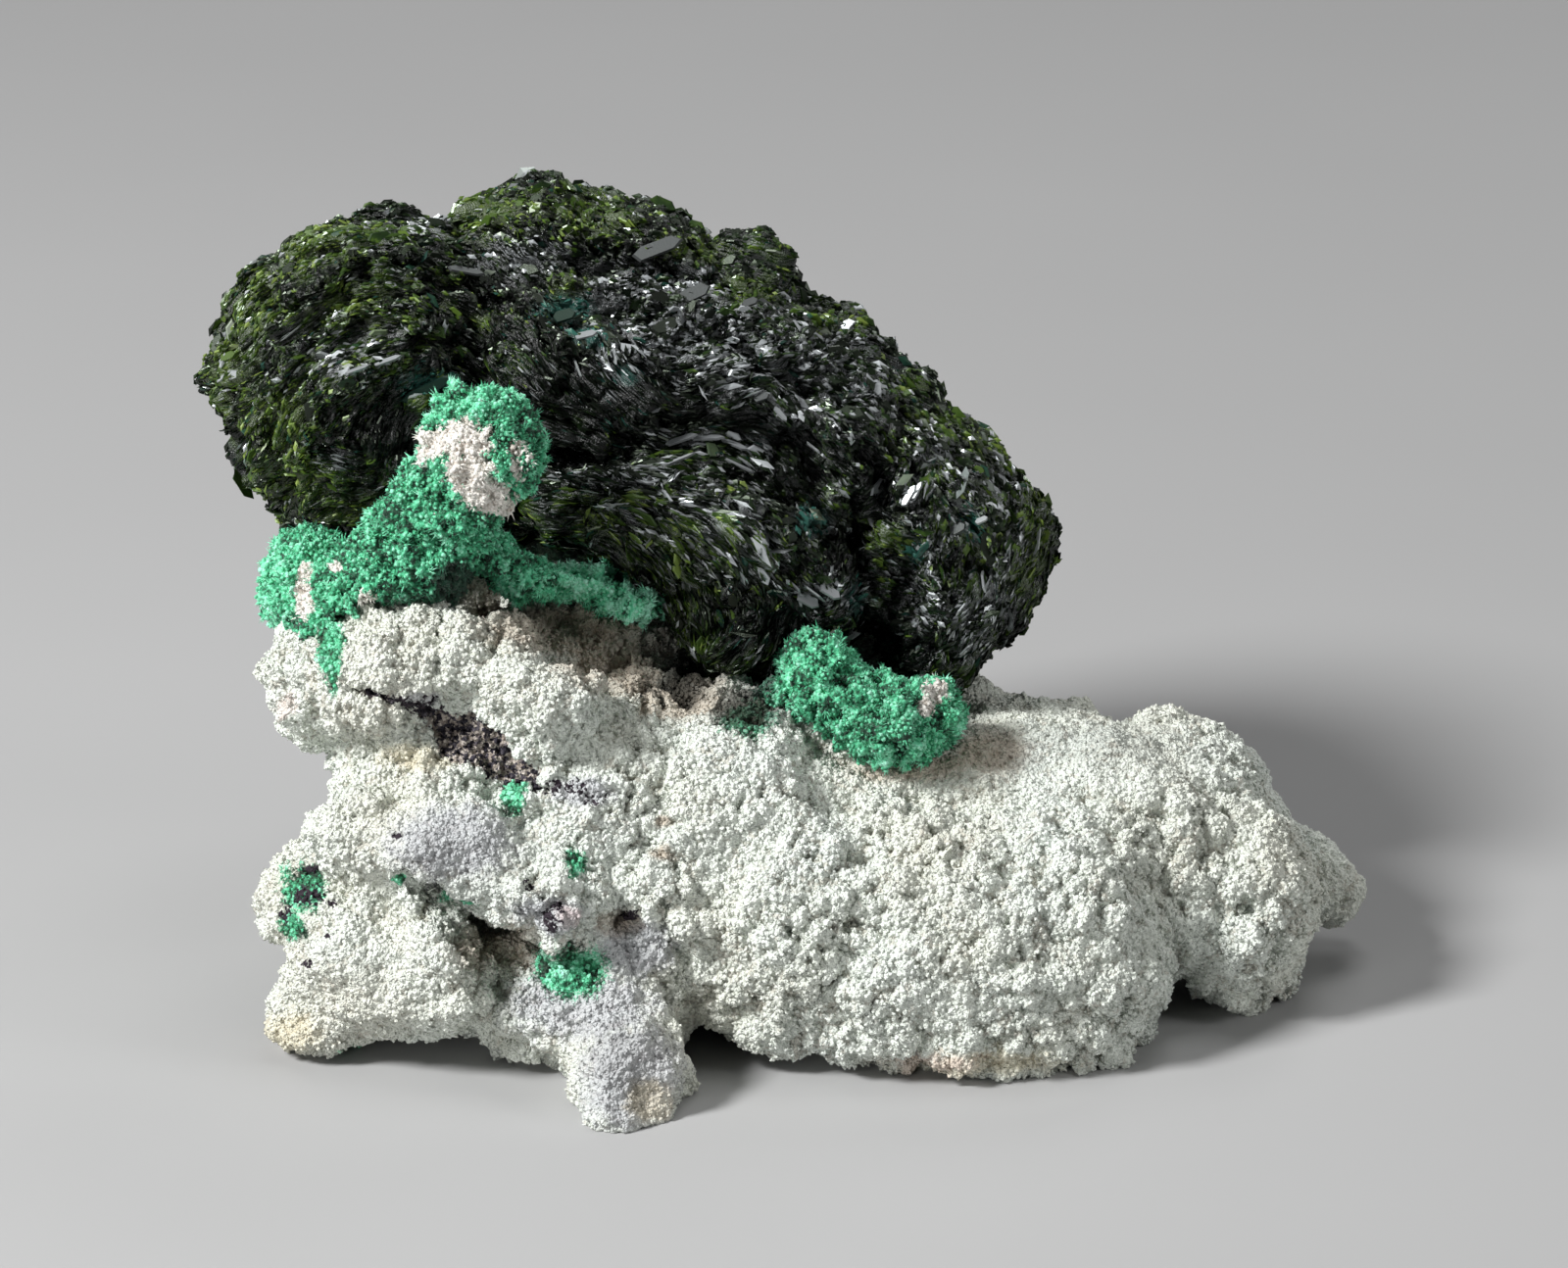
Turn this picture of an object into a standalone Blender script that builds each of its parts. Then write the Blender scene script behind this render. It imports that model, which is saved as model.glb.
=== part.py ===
# A hand specimen of volborthite: a rosette of dark green blades on malachite, on a white clay matrix.
# Metres, +Z up. The specimen stands on the flattened feet of its matrix, and +Y points to its back.
# Its lumps are given in millimetres on its broad face, which leans back when the specimen stands:
# (across to the right, up the face, deep into the stone), half sizes along the same three ways,
# and a turn in degrees in the plane of the face.

import math
import random
from collections import namedtuple

import bmesh
import bpy
from mathutils import Matrix, Vector

MM = 0.001
LEAN = math.radians(20)  # how far the broad face leans back
CENTRE_ACROSS = 0.0  # the face's across value near the middle of the standing specimen
CENTRE_BACK = 27.2  # how far behind the front toe that middle lies, along the table
SEAM_GAP = 0.4  # clearance between two minerals that touch
FOOT_CUT = 0.7  # height cut off the feet, where they are worn flat
FULLNESS = 0.4  # what each lump is given back for the rounding that follows
TABLE_BLOCK = 0.2  # metres, side of the block below the table's surface


Skin = namedtuple("Skin", "voxel rounding bump depth faces")
# The skin of each mineral: voxel size, rounding passes, width and depth of its bumps, triangles kept
MATRIX_SKIN = Skin(0.6, 3, 2.6, 1.6, 3150)
CRUST_SKIN = Skin(0.5, 2, 1.6, 1.2, 900)
MOUND_SKIN = Skin(0.5, 2, 1.6, 1.2, 360)
ROSETTE_SKIN = Skin(0.6, 2, 3.0, 1.6, 1550)
HOLLOW_SKIN = Skin(0.4, 1, None, None, None)
ROUNDING = 0.6  # how far one rounding pass moves the skin, as a share

# White clay matrix: cliff on the left, broad slab on the right, body and rear feet behind
CLIFF = [
    ((-24.2, 28.8, 9.0), (5.4, 3.8, 4.8), 0),
    ((-28.8, 28.4, 12.5), (2.6, 3.4, 4.5), 0),
    ((-18.8, 29.4, 9.5), (4.4, 2.8, 4.8), -10),
    ((-14.8, 27.0, 7.6), (3.8, 3.0, 4.0), -24),
    ((-12.5, 29.0, 20.5), (7.5, 4.0, 8.0), -14),
    ((-8.0, 26.4, 15.5), (5.0, 3.2, 5.0), -25),
    ((-21.6, 22.5, 12.5), (5.6, 5.0, 6.5), 0),
    ((-20.8, 17.8, 8.0), (8.0, 3.0, 5.2), -12),
    ((-14.4, 15.0, 6.4), (4.0, 2.3, 4.0), -12),
    ((-12.5, 20.5, 11.5), (6.0, 5.4, 6.5), 0),
]
FIN = [
    ((-25.8, 11.2, 10.5), (4.0, 4.4, 4.6), 10),
    ((-28.4, 7.6, 13.0), (2.5, 2.4, 4.0), 30),
    ((-22.2, 9.2, 9.5), (3.8, 2.4, 3.8), -12),
    ((-20.9, 11.8, 8.2), (1.6, 3.9, 3.8), 29),
    ((-30.6, 14.4, 13.0), (1.4, 1.4, 2.0), 0),
    ((-28.0, 16.0, 13.0), (2.6, 2.2, 4.0), -40),
]
TOE = [
    ((-16.0, 9.6, 14.0), (4.6, 3.8, 5.0), 0),
    ((-15.8, 7.3, 11.0), (2.6, 1.7, 3.6), 0),
    ((-10.5, 8.6, 10.0), (4.8, 4.4, 6.0), 0),
    ((-9.4, 4.8, 6.0), (3.4, 3.4, 4.4), 10),
    ((-9.7, 2.0, 3.8), (2.1, 2.1, 3.0), 0),
    ((-7.6, 15.0, 12.0), (5.0, 5.6, 7.0), 0),
]
SLAB = [
    ((-4.0, 19.0, 13.0), (6.8, 6.8, 7.0), 0),
    ((-3.0, 23.6, 15.5), (6.0, 3.8, 6.0), -10),
    ((4.5, 21.2, 16.5), (7.0, 3.4, 6.0), -6),
    ((0.0, 13.6, 12.0), (7.4, 7.6, 7.0), 0),
    ((6.5, 12.2, 12.0), (7.4, 8.0, 7.0), 0),
    ((12.5, 11.2, 12.5), (7.4, 8.2, 7.5), 0),
    ((17.4, 11.8, 14.5), (5.6, 8.4, 8.0), 12),
    ((10.0, 18.0, 20.0), (12.0, 6.6, 9.0), 0),
    ((20.0, 18.0, 21.0), (8.0, 6.8, 9.0), 0),
    ((24.6, 20.4, 26.0), (5.4, 5.2, 8.0), 0),
    ((15.0, 21.6, 29.0), (9.0, 4.6, 9.0), -4),
    ((15.4, 21.6, 22.6), (7.6, 3.9, 7.4), -6),
    ((24.6, 14.8, 18.6), (4.2, 4.4, 6.2), 8),
    ((28.2, 14.4, 19.0), (4.4, 6.0, 6.0), 10),
    ((29.4, 9.9, 20.0), (2.6, 2.5, 3.4), 0),
    ((28.4, 19.6, 25.0), (2.2, 2.8, 4.5), 35),
    ((32.4, 15.8, 25.5), (2.5, 2.8, 3.6), 25),
    ((34.4, 14.5, 26.0), (2.0, 2.1, 2.8), 0),
]
BODY = [
    ((-20.0, 14.6, 19.5), (8.6, 6.0, 7.0), 0),
    ((-22.6, 23.0, 21.0), (4.6, 8.4, 9.0), 0),
    ((-6.0, 15.0, 22.0), (9.0, 6.4, 7.0), 0),
    ((-14.0, 28.0, 28.0), (13.0, 9.0, 10.0), -6),
    ((2.0, 24.0, 29.0), (14.0, 7.0, 10.0), -6),
    ((-10.0, 19.0, 31.0), (16.0, 7.6, 9.0), 0),
    ((12.0, 19.6, 34.0), (12.0, 6.4, 7.0), 0),
]
# Hollows of the matrix: the recess beside the fin, the undercut ledges and the weathered seam
RECESSES = [
    ((-16.8, 10.9, 4.4), (2.4, 2.3, 5.0), -20),
    ((-12.6, 11.2, 2.6), (2.6, 1.7, 3.6), 0),
    ((-20.4, 14.5, 4.4), (3.2, 0.7, 3.6), -35),
    ((-9.9, 13.7, 3.6), (1.5, 1.6, 5.2), -20),
    ((-20.8, 30.4, 3.6), (0.5, 1.6, 2.6), 5),
    ((-19.0, 34.2, 13.5), (1.5, 1.9, 6.5), 0),
    ((-18.8, 25.0, 3.4), (5.4, 0.9, 4.4), -32),
    ((-12.6, 23.0, 2.2), (2.4, 1.4, 4.4), 0),
    ((-26.2, 22.6, 4.6), (3.0, 1.6, 3.6), 0),
    ((-5.6, 6.6, 6.5), (0.5, 1.8, 8.0), 8),
    ((24.8, 8.2, 12.0), (1.3, 2.6, 9.0), 30),
    ((32.4, 11.6, 22.0), (0.8, 1.5, 9.0), 40),
    ((0.6, 16.4, 3.6), (1.8, 1.2, 2.6), 0),
    ((14.6, 16.2, 5.6), (3.0, 0.9, 3.4), -20),
]

# Malachite: a crust with a post and a ball, and a mound of its own on the slab
CRUST = [
    ((-18.2, 42.1, 5.4), (3.6, 3.7, 3.8), 0),
    ((-20.4, 38.8, 7.0), (2.9, 3.2, 3.2), 30),
    ((-22.4, 36.0, 9.0), (3.5, 3.4, 4.2), 30),
    ((-25.2, 33.8, 10.5), (3.4, 2.5, 4.4), 0),
    ((-29.2, 34.3, 13.5), (2.7, 3.2, 4.0), 0),
    ((-27.6, 31.6, 9.4), (1.9, 2.6, 3.2), 0),
    ((-18.4, 36.0, 12.5), (2.4, 1.1, 3.2), 0),
    ((-15.4, 34.8, 14.0), (2.7, 1.5, 4.0), -4),
    ((-12.6, 34.5, 15.5), (2.2, 1.5, 3.4), -30),
    ((-9.9, 32.7, 15.5), (2.6, 1.1, 2.8), -38),
]
MOUND = [
    ((2.4, 27.6, 15.0), (2.5, 3.4, 4.4), 10),
    ((6.3, 25.2, 13.4), (3.5, 2.8, 4.6), -8),
    ((9.0, 26.0, 14.6), (2.0, 2.1, 3.8), 0),
    ((-0.7, 26.2, 15.0), (2.2, 1.3, 3.2), 12),
]

# Volborthite: the left dome, the crest behind it, the arch to the right, and the fan that hangs below
DOME = [
    ((-25.8, 46.6, 22.5), (9.4, 10.2, 10.6), 0),
    ((-32.4, 47.2, 23.0), (3.6, 3.8, 7.0), 0),
    ((-27.8, 41.0, 23.0), (4.8, 4.4, 8.0), 20),
    ((-17.5, 41.6, 22.0), (5.0, 4.6, 6.0), 0),
]
CREST = [
    ((-16.0, 51.8, 27.0), (6.8, 7.4, 9.5), -10),
    ((-16.3, 58.8, 29.0), (2.2, 1.6, 3.4), 0),
    ((-9.0, 53.2, 28.0), (6.6, 4.6, 8.5), -30),
    ((-2.8, 53.0, 28.0), (3.8, 3.0, 7.0), -25),
]
ARCH = [
    ((-11.5, 46.6, 22.0), (9.0, 6.4, 10.0), -15),
    ((-3.0, 46.4, 23.0), (7.6, 6.0, 10.0), -30),
    ((3.2, 47.4, 27.0), (4.4, 3.4, 7.0), -35),
    ((4.0, 43.0, 24.0), (6.4, 5.4, 9.6), -40),
    ((9.0, 39.0, 24.5), (4.8, 5.6, 8.6), -20),
    ((8.8, 46.4, 27.0), (1.4, 1.4, 3.0), 0),
    ((13.4, 37.2, 25.0), (3.4, 4.0, 7.0), 20),
    ((11.6, 33.4, 24.0), (3.0, 4.0, 6.0), 0),
    ((9.4, 32.0, 23.0), (3.4, 5.2, 6.6), -8),
]
FAN = [
    ((-4.6, 37.2, 18.0), (8.4, 4.6, 6.8), -22),
    ((-3.4, 31.6, 19.0), (3.8, 4.2, 6.2), -12),
    ((-12.4, 38.8, 19.5), (4.0, 2.4, 5.0), -4),
    ((2.0, 33.5, 20.0), (4.0, 3.4, 6.0), 0),
]
# Crevices between the arch and the fan, and under the arch's right end
CREVICES = [
    ((-8.6, 43.4, 9.8), (6.0, 0.9, 4.6), 2),
    ((2.4, 41.4, 12.0), (4.6, 1.0, 4.4), -45),
    ((4.9, 35.0, 14.4), (0.7, 3.6, 4.0), 0),
    ((6.4, 28.8, 14.6), (2.0, 1.4, 4.4), 0),
    ((-14.0, 43.4, 9.4), (2.0, 1.4, 4.6), -30),
]

# Strands of stacked blades on the rosette's face: (across, up) points along each, left to right
STRANDS = [
    [(-32.5, 42.0), (-30.8, 47.6), (-26.5, 50.8), (-21.0, 50.6), (-16.5, 47.0)],
    [(-29.5, 41.5), (-28.0, 45.6), (-24.6, 47.4), (-20.8, 47.6)],
    [(-30.5, 51.0), (-26.5, 53.8), (-21.5, 54.0), (-16.5, 51.8), (-11.8, 47.4)],
    [(-17.0, 56.0), (-12.0, 55.4), (-7.0, 53.6), (-1.5, 52.2)],
    [(-14.5, 52.4), (-9.5, 51.4), (-4.0, 49.6), (1.5, 47.8), (5.5, 45.6)],
    [(-10.0, 48.0), (-5.0, 46.6), (0.0, 44.6), (4.5, 42.6)],
    [(6.0, 44.0), (9.0, 42.0), (12.0, 39.0), (13.6, 35.4)],
    [(7.0, 41.0), (8.6, 37.6), (9.6, 33.6), (9.8, 30.4)],
    [(-13.5, 40.2), (-8.5, 40.2), (-3.5, 39.2), (0.8, 36.4), (3.2, 33.4)],
    [(-12.5, 38.6), (-8.4, 37.2), (-4.6, 34.8), (-2.2, 31.4)],
    [(-6.5, 42.0), (-3.0, 41.6), (0.0, 39.8), (2.6, 37.2)],
    [(-9.5, 36.0), (-7.2, 33.4), (-5.6, 30.6)],
]
BLADE = (3.2, 1.9, 0.75)  # length, height and thickness of one blade
BLADE_SPACING = 2.5
BLADE_SHOULDER = 0.55  # where the end faces start, as a share of half the length
BLADE_SPREAD = 0.2  # how far sizes differ from the mean, as a share
BLADE_TILT = math.radians(20)  # furthest a blade leans from standing edge-on
BLADE_SEED = 4
# The broad crystal that stands alone on the crest: spot, size, way along and tilt
LONE_BLADE = ((-8.0, 55.0), (4.0, 2.2, 0.8), (1.0, 0.3), math.radians(34))
VIEW_FROM = -40.0  # deep value, well in front of the face, that looks onto it start from


def remove_everything():
    """Clears the scene, so that the specimen is all that it holds."""
    for obj in list(bpy.data.objects):
        bpy.data.objects.remove(obj, do_unlink=True)


def on_face(across, up, deep):
    """The place in the standing specimen, in metres, of a point given on its broad face."""
    back = deep * math.cos(LEAN) + up * math.sin(LEAN) - CENTRE_BACK
    height = up * math.cos(LEAN) - deep * math.sin(LEAN) - FOOT_CUT
    return Vector((across - CENTRE_ACROSS, back, height)) * MM


def face_turn(degrees):
    """Rotation of something turned in the plane of the leaning face."""
    return Matrix.Rotation(-LEAN, 4, "X") @ Matrix.Rotation(math.radians(-degrees), 4, "Y")


def link(obj, collection):
    for holder in list(obj.users_collection):
        holder.objects.unlink(obj)
    collection.objects.link(obj)
    return obj


def add_modifier(obj, kind, **settings):
    modifier = obj.modifiers.new(kind.title(), kind)
    for name, value in settings.items():
        setattr(modifier, name, value)
    return modifier


def apply_modifiers(obj):
    """Puts the evaluated mesh on the object in place of its modifiers."""
    graph = bpy.context.evaluated_depsgraph_get()
    mesh = bpy.data.meshes.new_from_object(obj.evaluated_get(graph))
    obj.modifiers.clear()
    obj.data = mesh
    return obj


def make_lumps(name, lumps, fullness=FULLNESS):
    """One mesh holding every lump as an ellipsoid, still overlapping."""
    joined = bmesh.new()
    for place, half, turn in lumps:
        wide, tall, deep = [(size + fullness) * MM for size in half]
        shape = Matrix.Diagonal((wide, deep, tall, 1.0))
        matrix = Matrix.Translation(on_face(*place)) @ face_turn(turn) @ shape
        bmesh.ops.create_icosphere(joined, subdivisions=3, radius=1.0, matrix=matrix)
    mesh = bpy.data.meshes.new(name)
    joined.to_mesh(mesh)
    joined.free()
    return link(bpy.data.objects.new(name, mesh), bpy.context.scene.collection)


def fuse(obj, skin):
    """Joins overlapping lumps in one skin and rounds the creases between them."""
    add_modifier(obj, "REMESH", mode="VOXEL", voxel_size=skin.voxel * MM)
    add_modifier(obj, "SMOOTH", factor=ROUNDING, iterations=skin.rounding)
    return apply_modifiers(obj)


def carve(obj, cutter, operation="DIFFERENCE"):
    add_modifier(obj, "BOOLEAN", object=cutter, operation=operation, solver="EXACT")
    apply_modifiers(obj)
    bpy.data.objects.remove(cutter, do_unlink=True)
    return obj


def roughen(obj, skin):
    """Pushes the skin in and out by cloud noise, then reduces it to the triangles it keeps."""
    clouds = bpy.data.textures.new(obj.name + "_clouds", "CLOUDS")
    clouds.noise_scale = skin.bump * MM
    clouds.noise_depth = 2
    push = skin.depth * MM
    add_modifier(obj, "DISPLACE", texture=clouds, texture_coords="LOCAL", strength=push, mid_level=0.5)
    apply_modifiers(obj)
    obj.data.calc_loop_triangles()
    share = skin.faces / len(obj.data.loop_triangles)
    add_modifier(obj, "DECIMATE", ratio=share, use_collapse_triangulate=True)
    return apply_modifiers(obj)


def grown_copy(obj, distance):
    """A copy whose skin stands this far outside, for cutting a neighbour back."""
    copy = bpy.data.objects.new(obj.name + "_clearance", obj.data.copy())
    bpy.context.scene.collection.objects.link(copy)
    add_modifier(copy, "DISPLACE", strength=distance * MM, mid_level=0.0)
    return apply_modifiers(copy)


def keep_largest(obj):
    """Drops the crumbs that a cut leaves beside the main piece."""
    shape = bmesh.new()
    shape.from_mesh(obj.data)
    left = set(shape.verts)
    islands = []
    while left:
        island, edge = set(), [next(iter(left))]
        while edge:
            vert = edge.pop()
            if vert in island:
                continue
            island.add(vert)
            edge.extend(e.other_vert(vert) for e in vert.link_edges)
        islands.append(island)
        left -= island
    keep = max(islands, key=len)
    bmesh.ops.delete(shape, geom=[v for v in shape.verts if v not in keep], context="VERTS")
    shape.to_mesh(obj.data)
    shape.free()
    return obj


def floor_cutter():
    """A block below the table's surface, which flattens the feet."""
    bpy.ops.mesh.primitive_cube_add(size=TABLE_BLOCK, location=(0, 0, -TABLE_BLOCK / 2))
    return bpy.context.object


def material(name, colour, roughness, metallic=0.0):
    made = bpy.data.materials.new(name)
    made.use_nodes = True
    shader = made.node_tree.nodes["Principled BSDF"]
    shader.inputs["Base Color"].default_value = (*colour, 1.0)
    shader.inputs["Roughness"].default_value = roughness
    shader.inputs["Metallic"].default_value = metallic
    made.diffuse_color = (*colour, 1.0)
    return made


def finish_node(obj, collection, finish):
    obj.data.materials.clear()
    obj.data.materials.append(finish)
    return link(obj, collection)


def build_matrix():
    """The white clay, with its cliff, fin, toe, slab and rear feet."""
    matrix = fuse(make_lumps("clay_matrix", CLIFF + FIN + TOE + SLAB + BODY), MATRIX_SKIN)
    carve(matrix, fuse(make_lumps("recesses", RECESSES, 0.0), HOLLOW_SKIN))
    roughen(fuse(matrix, MATRIX_SKIN), MATRIX_SKIN)
    carve(matrix, floor_cutter())
    return keep_largest(matrix)


def build_malachite(name, lumps, skin, neighbours):
    """Green crust grown on the clay, cut back from what it touches."""
    crust = roughen(fuse(make_lumps(name, lumps), skin), skin)
    for neighbour in neighbours:
        carve(crust, grown_copy(neighbour, SEAM_GAP))
    return keep_largest(crust)


def nearest_on(obj, across, up):
    """Where the view straight onto the broad face first meets the object, and the normal there."""
    start = on_face(across, up, VIEW_FROM)
    into = (on_face(across, up, 0.0) - start).normalized()
    hit, place, normal, _ = obj.ray_cast(start, into)
    return (place, normal) if hit else (None, None)


def blade_shape(shape, matrix, size):
    """One tabular crystal: a plate with six sides, pointed at both ends, centred on the matrix."""
    length, height, thick = [value * MM / 2 for value in size]
    shoulder = length * BLADE_SHOULDER
    lower = [(-length, 0), (-shoulder, -height), (shoulder, -height)]
    outline = lower + [(length, 0), (shoulder, height), (-shoulder, height)]
    left = [shape.verts.new(matrix @ Vector((x, -thick, z))) for x, z in outline]
    right = [shape.verts.new(matrix @ Vector((x, thick, z))) for x, z in outline]
    shape.faces.new(left)
    shape.faces.new(right[::-1])
    for i in range(len(outline)):
        j = (i + 1) % len(outline)
        shape.faces.new((left[j], left[i], right[i], right[j]))


def standing_on(place, normal, along, tilt):
    """Axes of a blade that stands edge-on on the skin: X along the strand, Z out of the skin."""
    out = normal.normalized()
    lengthways = (along - along.dot(out) * out).normalized()
    sideways = out.cross(lengthways)
    axes = Matrix((lengthways, sideways, out)).transposed().to_4x4()
    return Matrix.Translation(place) @ axes @ Matrix.Rotation(tilt, 4, "X")


def strand_steps(points):
    """Places along a strand, a blade's spacing apart, with the direction at each."""
    for start, end in zip(points, points[1:]):
        run = Vector(end) - Vector(start)
        count = max(1, round(run.length / BLADE_SPACING))
        for i in range(count):
            yield Vector(start) + run * (i + 0.5) / count, run.normalized()


def add_blade(shape, rosette, spot, way, tilt, size):
    """Stands one blade on the rosette, seen straight on at this spot, pointing this way."""
    place, normal = nearest_on(rosette, *spot)
    if place is not None:
        along = on_face(*way, 0.0) - on_face(0.0, 0.0, 0.0)
        blade_shape(shape, standing_on(place, normal, along, tilt), size)


def build_blades(rosette):
    """Rows of blades along the strands, and the broad crystal on the crest."""
    chance = random.Random(BLADE_SEED)
    shape = bmesh.new()
    for points in STRANDS:
        for spot, way in strand_steps(points):
            size = [value * chance.uniform(1 - BLADE_SPREAD, 1 + BLADE_SPREAD) for value in BLADE]
            tilt = chance.uniform(-BLADE_TILT, BLADE_TILT)
            add_blade(shape, rosette, spot, way, tilt, size)
    spot, size, way, tilt = LONE_BLADE
    add_blade(shape, rosette, spot, way, tilt, size)
    mesh = bpy.data.meshes.new("blades")
    bmesh.ops.recalc_face_normals(shape, faces=shape.faces)
    shape.to_mesh(mesh)
    shape.free()
    return link(bpy.data.objects.new("blades", mesh), bpy.context.scene.collection)


def build_rosette(neighbours):
    """The intergrown volborthite, one solid with its blades fused on."""
    rosette = fuse(make_lumps("volborthite_rosette", DOME + CREST + ARCH + FAN), ROSETTE_SKIN)
    carve(rosette, fuse(make_lumps("crevices", CREVICES, 0.0), HOLLOW_SKIN))
    roughen(fuse(rosette, ROSETTE_SKIN), ROSETTE_SKIN)
    blades = build_blades(rosette)
    modifier = add_modifier(rosette, "BOOLEAN", object=blades, operation="UNION", solver="EXACT")
    modifier.use_self = True
    apply_modifiers(rosette)
    bpy.data.objects.remove(blades, do_unlink=True)
    for neighbour in neighbours:
        carve(rosette, grown_copy(neighbour, SEAM_GAP))
    return keep_largest(rosette)


def centre_on_table(nodes):
    """Moves the whole specimen along the table until the middle of its box is at the origin."""
    corners = [obj.matrix_world @ Vector(corner) for obj in nodes for corner in obj.bound_box]
    middle = [(min(c[i] for c in corners) + max(c[i] for c in corners)) / 2 for i in range(2)]
    for obj in nodes:
        obj.data.transform(Matrix.Translation((-middle[0], -middle[1], 0.0)))


def build_specimen():
    remove_everything()
    specimen = bpy.data.collections.new("volborthite_specimen")
    bpy.context.scene.collection.children.link(specimen)
    clay = material("white_clay", (0.82, 0.80, 0.76), 0.95)
    green = material("malachite", (0.07, 0.42, 0.22), 0.8)
    dark = material("volborthite", (0.02, 0.04, 0.015), 0.2)
    matrix = build_matrix()
    crust = build_malachite("malachite_crust", CRUST, CRUST_SKIN, [matrix])
    mound = build_malachite("malachite_mound", MOUND, MOUND_SKIN, [matrix])
    rosette = build_rosette([matrix, crust, mound])
    finish_node(matrix, specimen, clay)
    finish_node(crust, specimen, green)
    finish_node(mound, specimen, green)
    finish_node(rosette, specimen, dark)
    centre_on_table([matrix, crust, mound, rosette])


build_specimen()
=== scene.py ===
import math

import bmesh
import bpy
import numpy as np
from mathutils import Matrix, Vector


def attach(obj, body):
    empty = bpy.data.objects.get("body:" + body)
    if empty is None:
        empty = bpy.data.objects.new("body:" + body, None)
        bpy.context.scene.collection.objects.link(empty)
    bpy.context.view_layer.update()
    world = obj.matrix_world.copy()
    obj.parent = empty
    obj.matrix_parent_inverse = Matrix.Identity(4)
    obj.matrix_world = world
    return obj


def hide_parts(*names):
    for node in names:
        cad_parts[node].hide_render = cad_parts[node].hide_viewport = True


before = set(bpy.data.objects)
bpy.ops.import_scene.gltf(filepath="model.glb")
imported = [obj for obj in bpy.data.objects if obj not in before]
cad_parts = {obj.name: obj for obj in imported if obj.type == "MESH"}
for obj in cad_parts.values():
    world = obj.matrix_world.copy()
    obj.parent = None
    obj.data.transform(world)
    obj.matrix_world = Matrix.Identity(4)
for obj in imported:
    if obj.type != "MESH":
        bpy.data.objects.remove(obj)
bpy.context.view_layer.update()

mm = 0.001
lean = math.radians(20)  # the broad face leans back by this much
centreAcross = 0.063  # mm, the face's across value that is the row's x = 0
centreBack = 27.094  # mm, how far the row's y = 0 lies behind the front toe
footCut = 0.7  # mm taken off the feet
faceAcross = np.array([1.0, 0.0, 0.0])
faceUp = np.array([0.0, math.sin(lean), math.cos(lean)])
faceDeep = np.array([0.0, math.cos(lean), -math.sin(lean)])
faceOrigin = np.array([-centreAcross, -centreBack, -footCut])  # mm


# From the broad face (across, up, deep in mm) to the row frame in metres, and back
def onFace(across, up, deep):
    return Vector((faceOrigin + across * faceAcross + up * faceUp + deep * faceDeep) * mm)


def toFace(places):
    return (places / mm - faceOrigin) @ np.stack([faceAcross, faceUp, faceDeep], axis=1)


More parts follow.
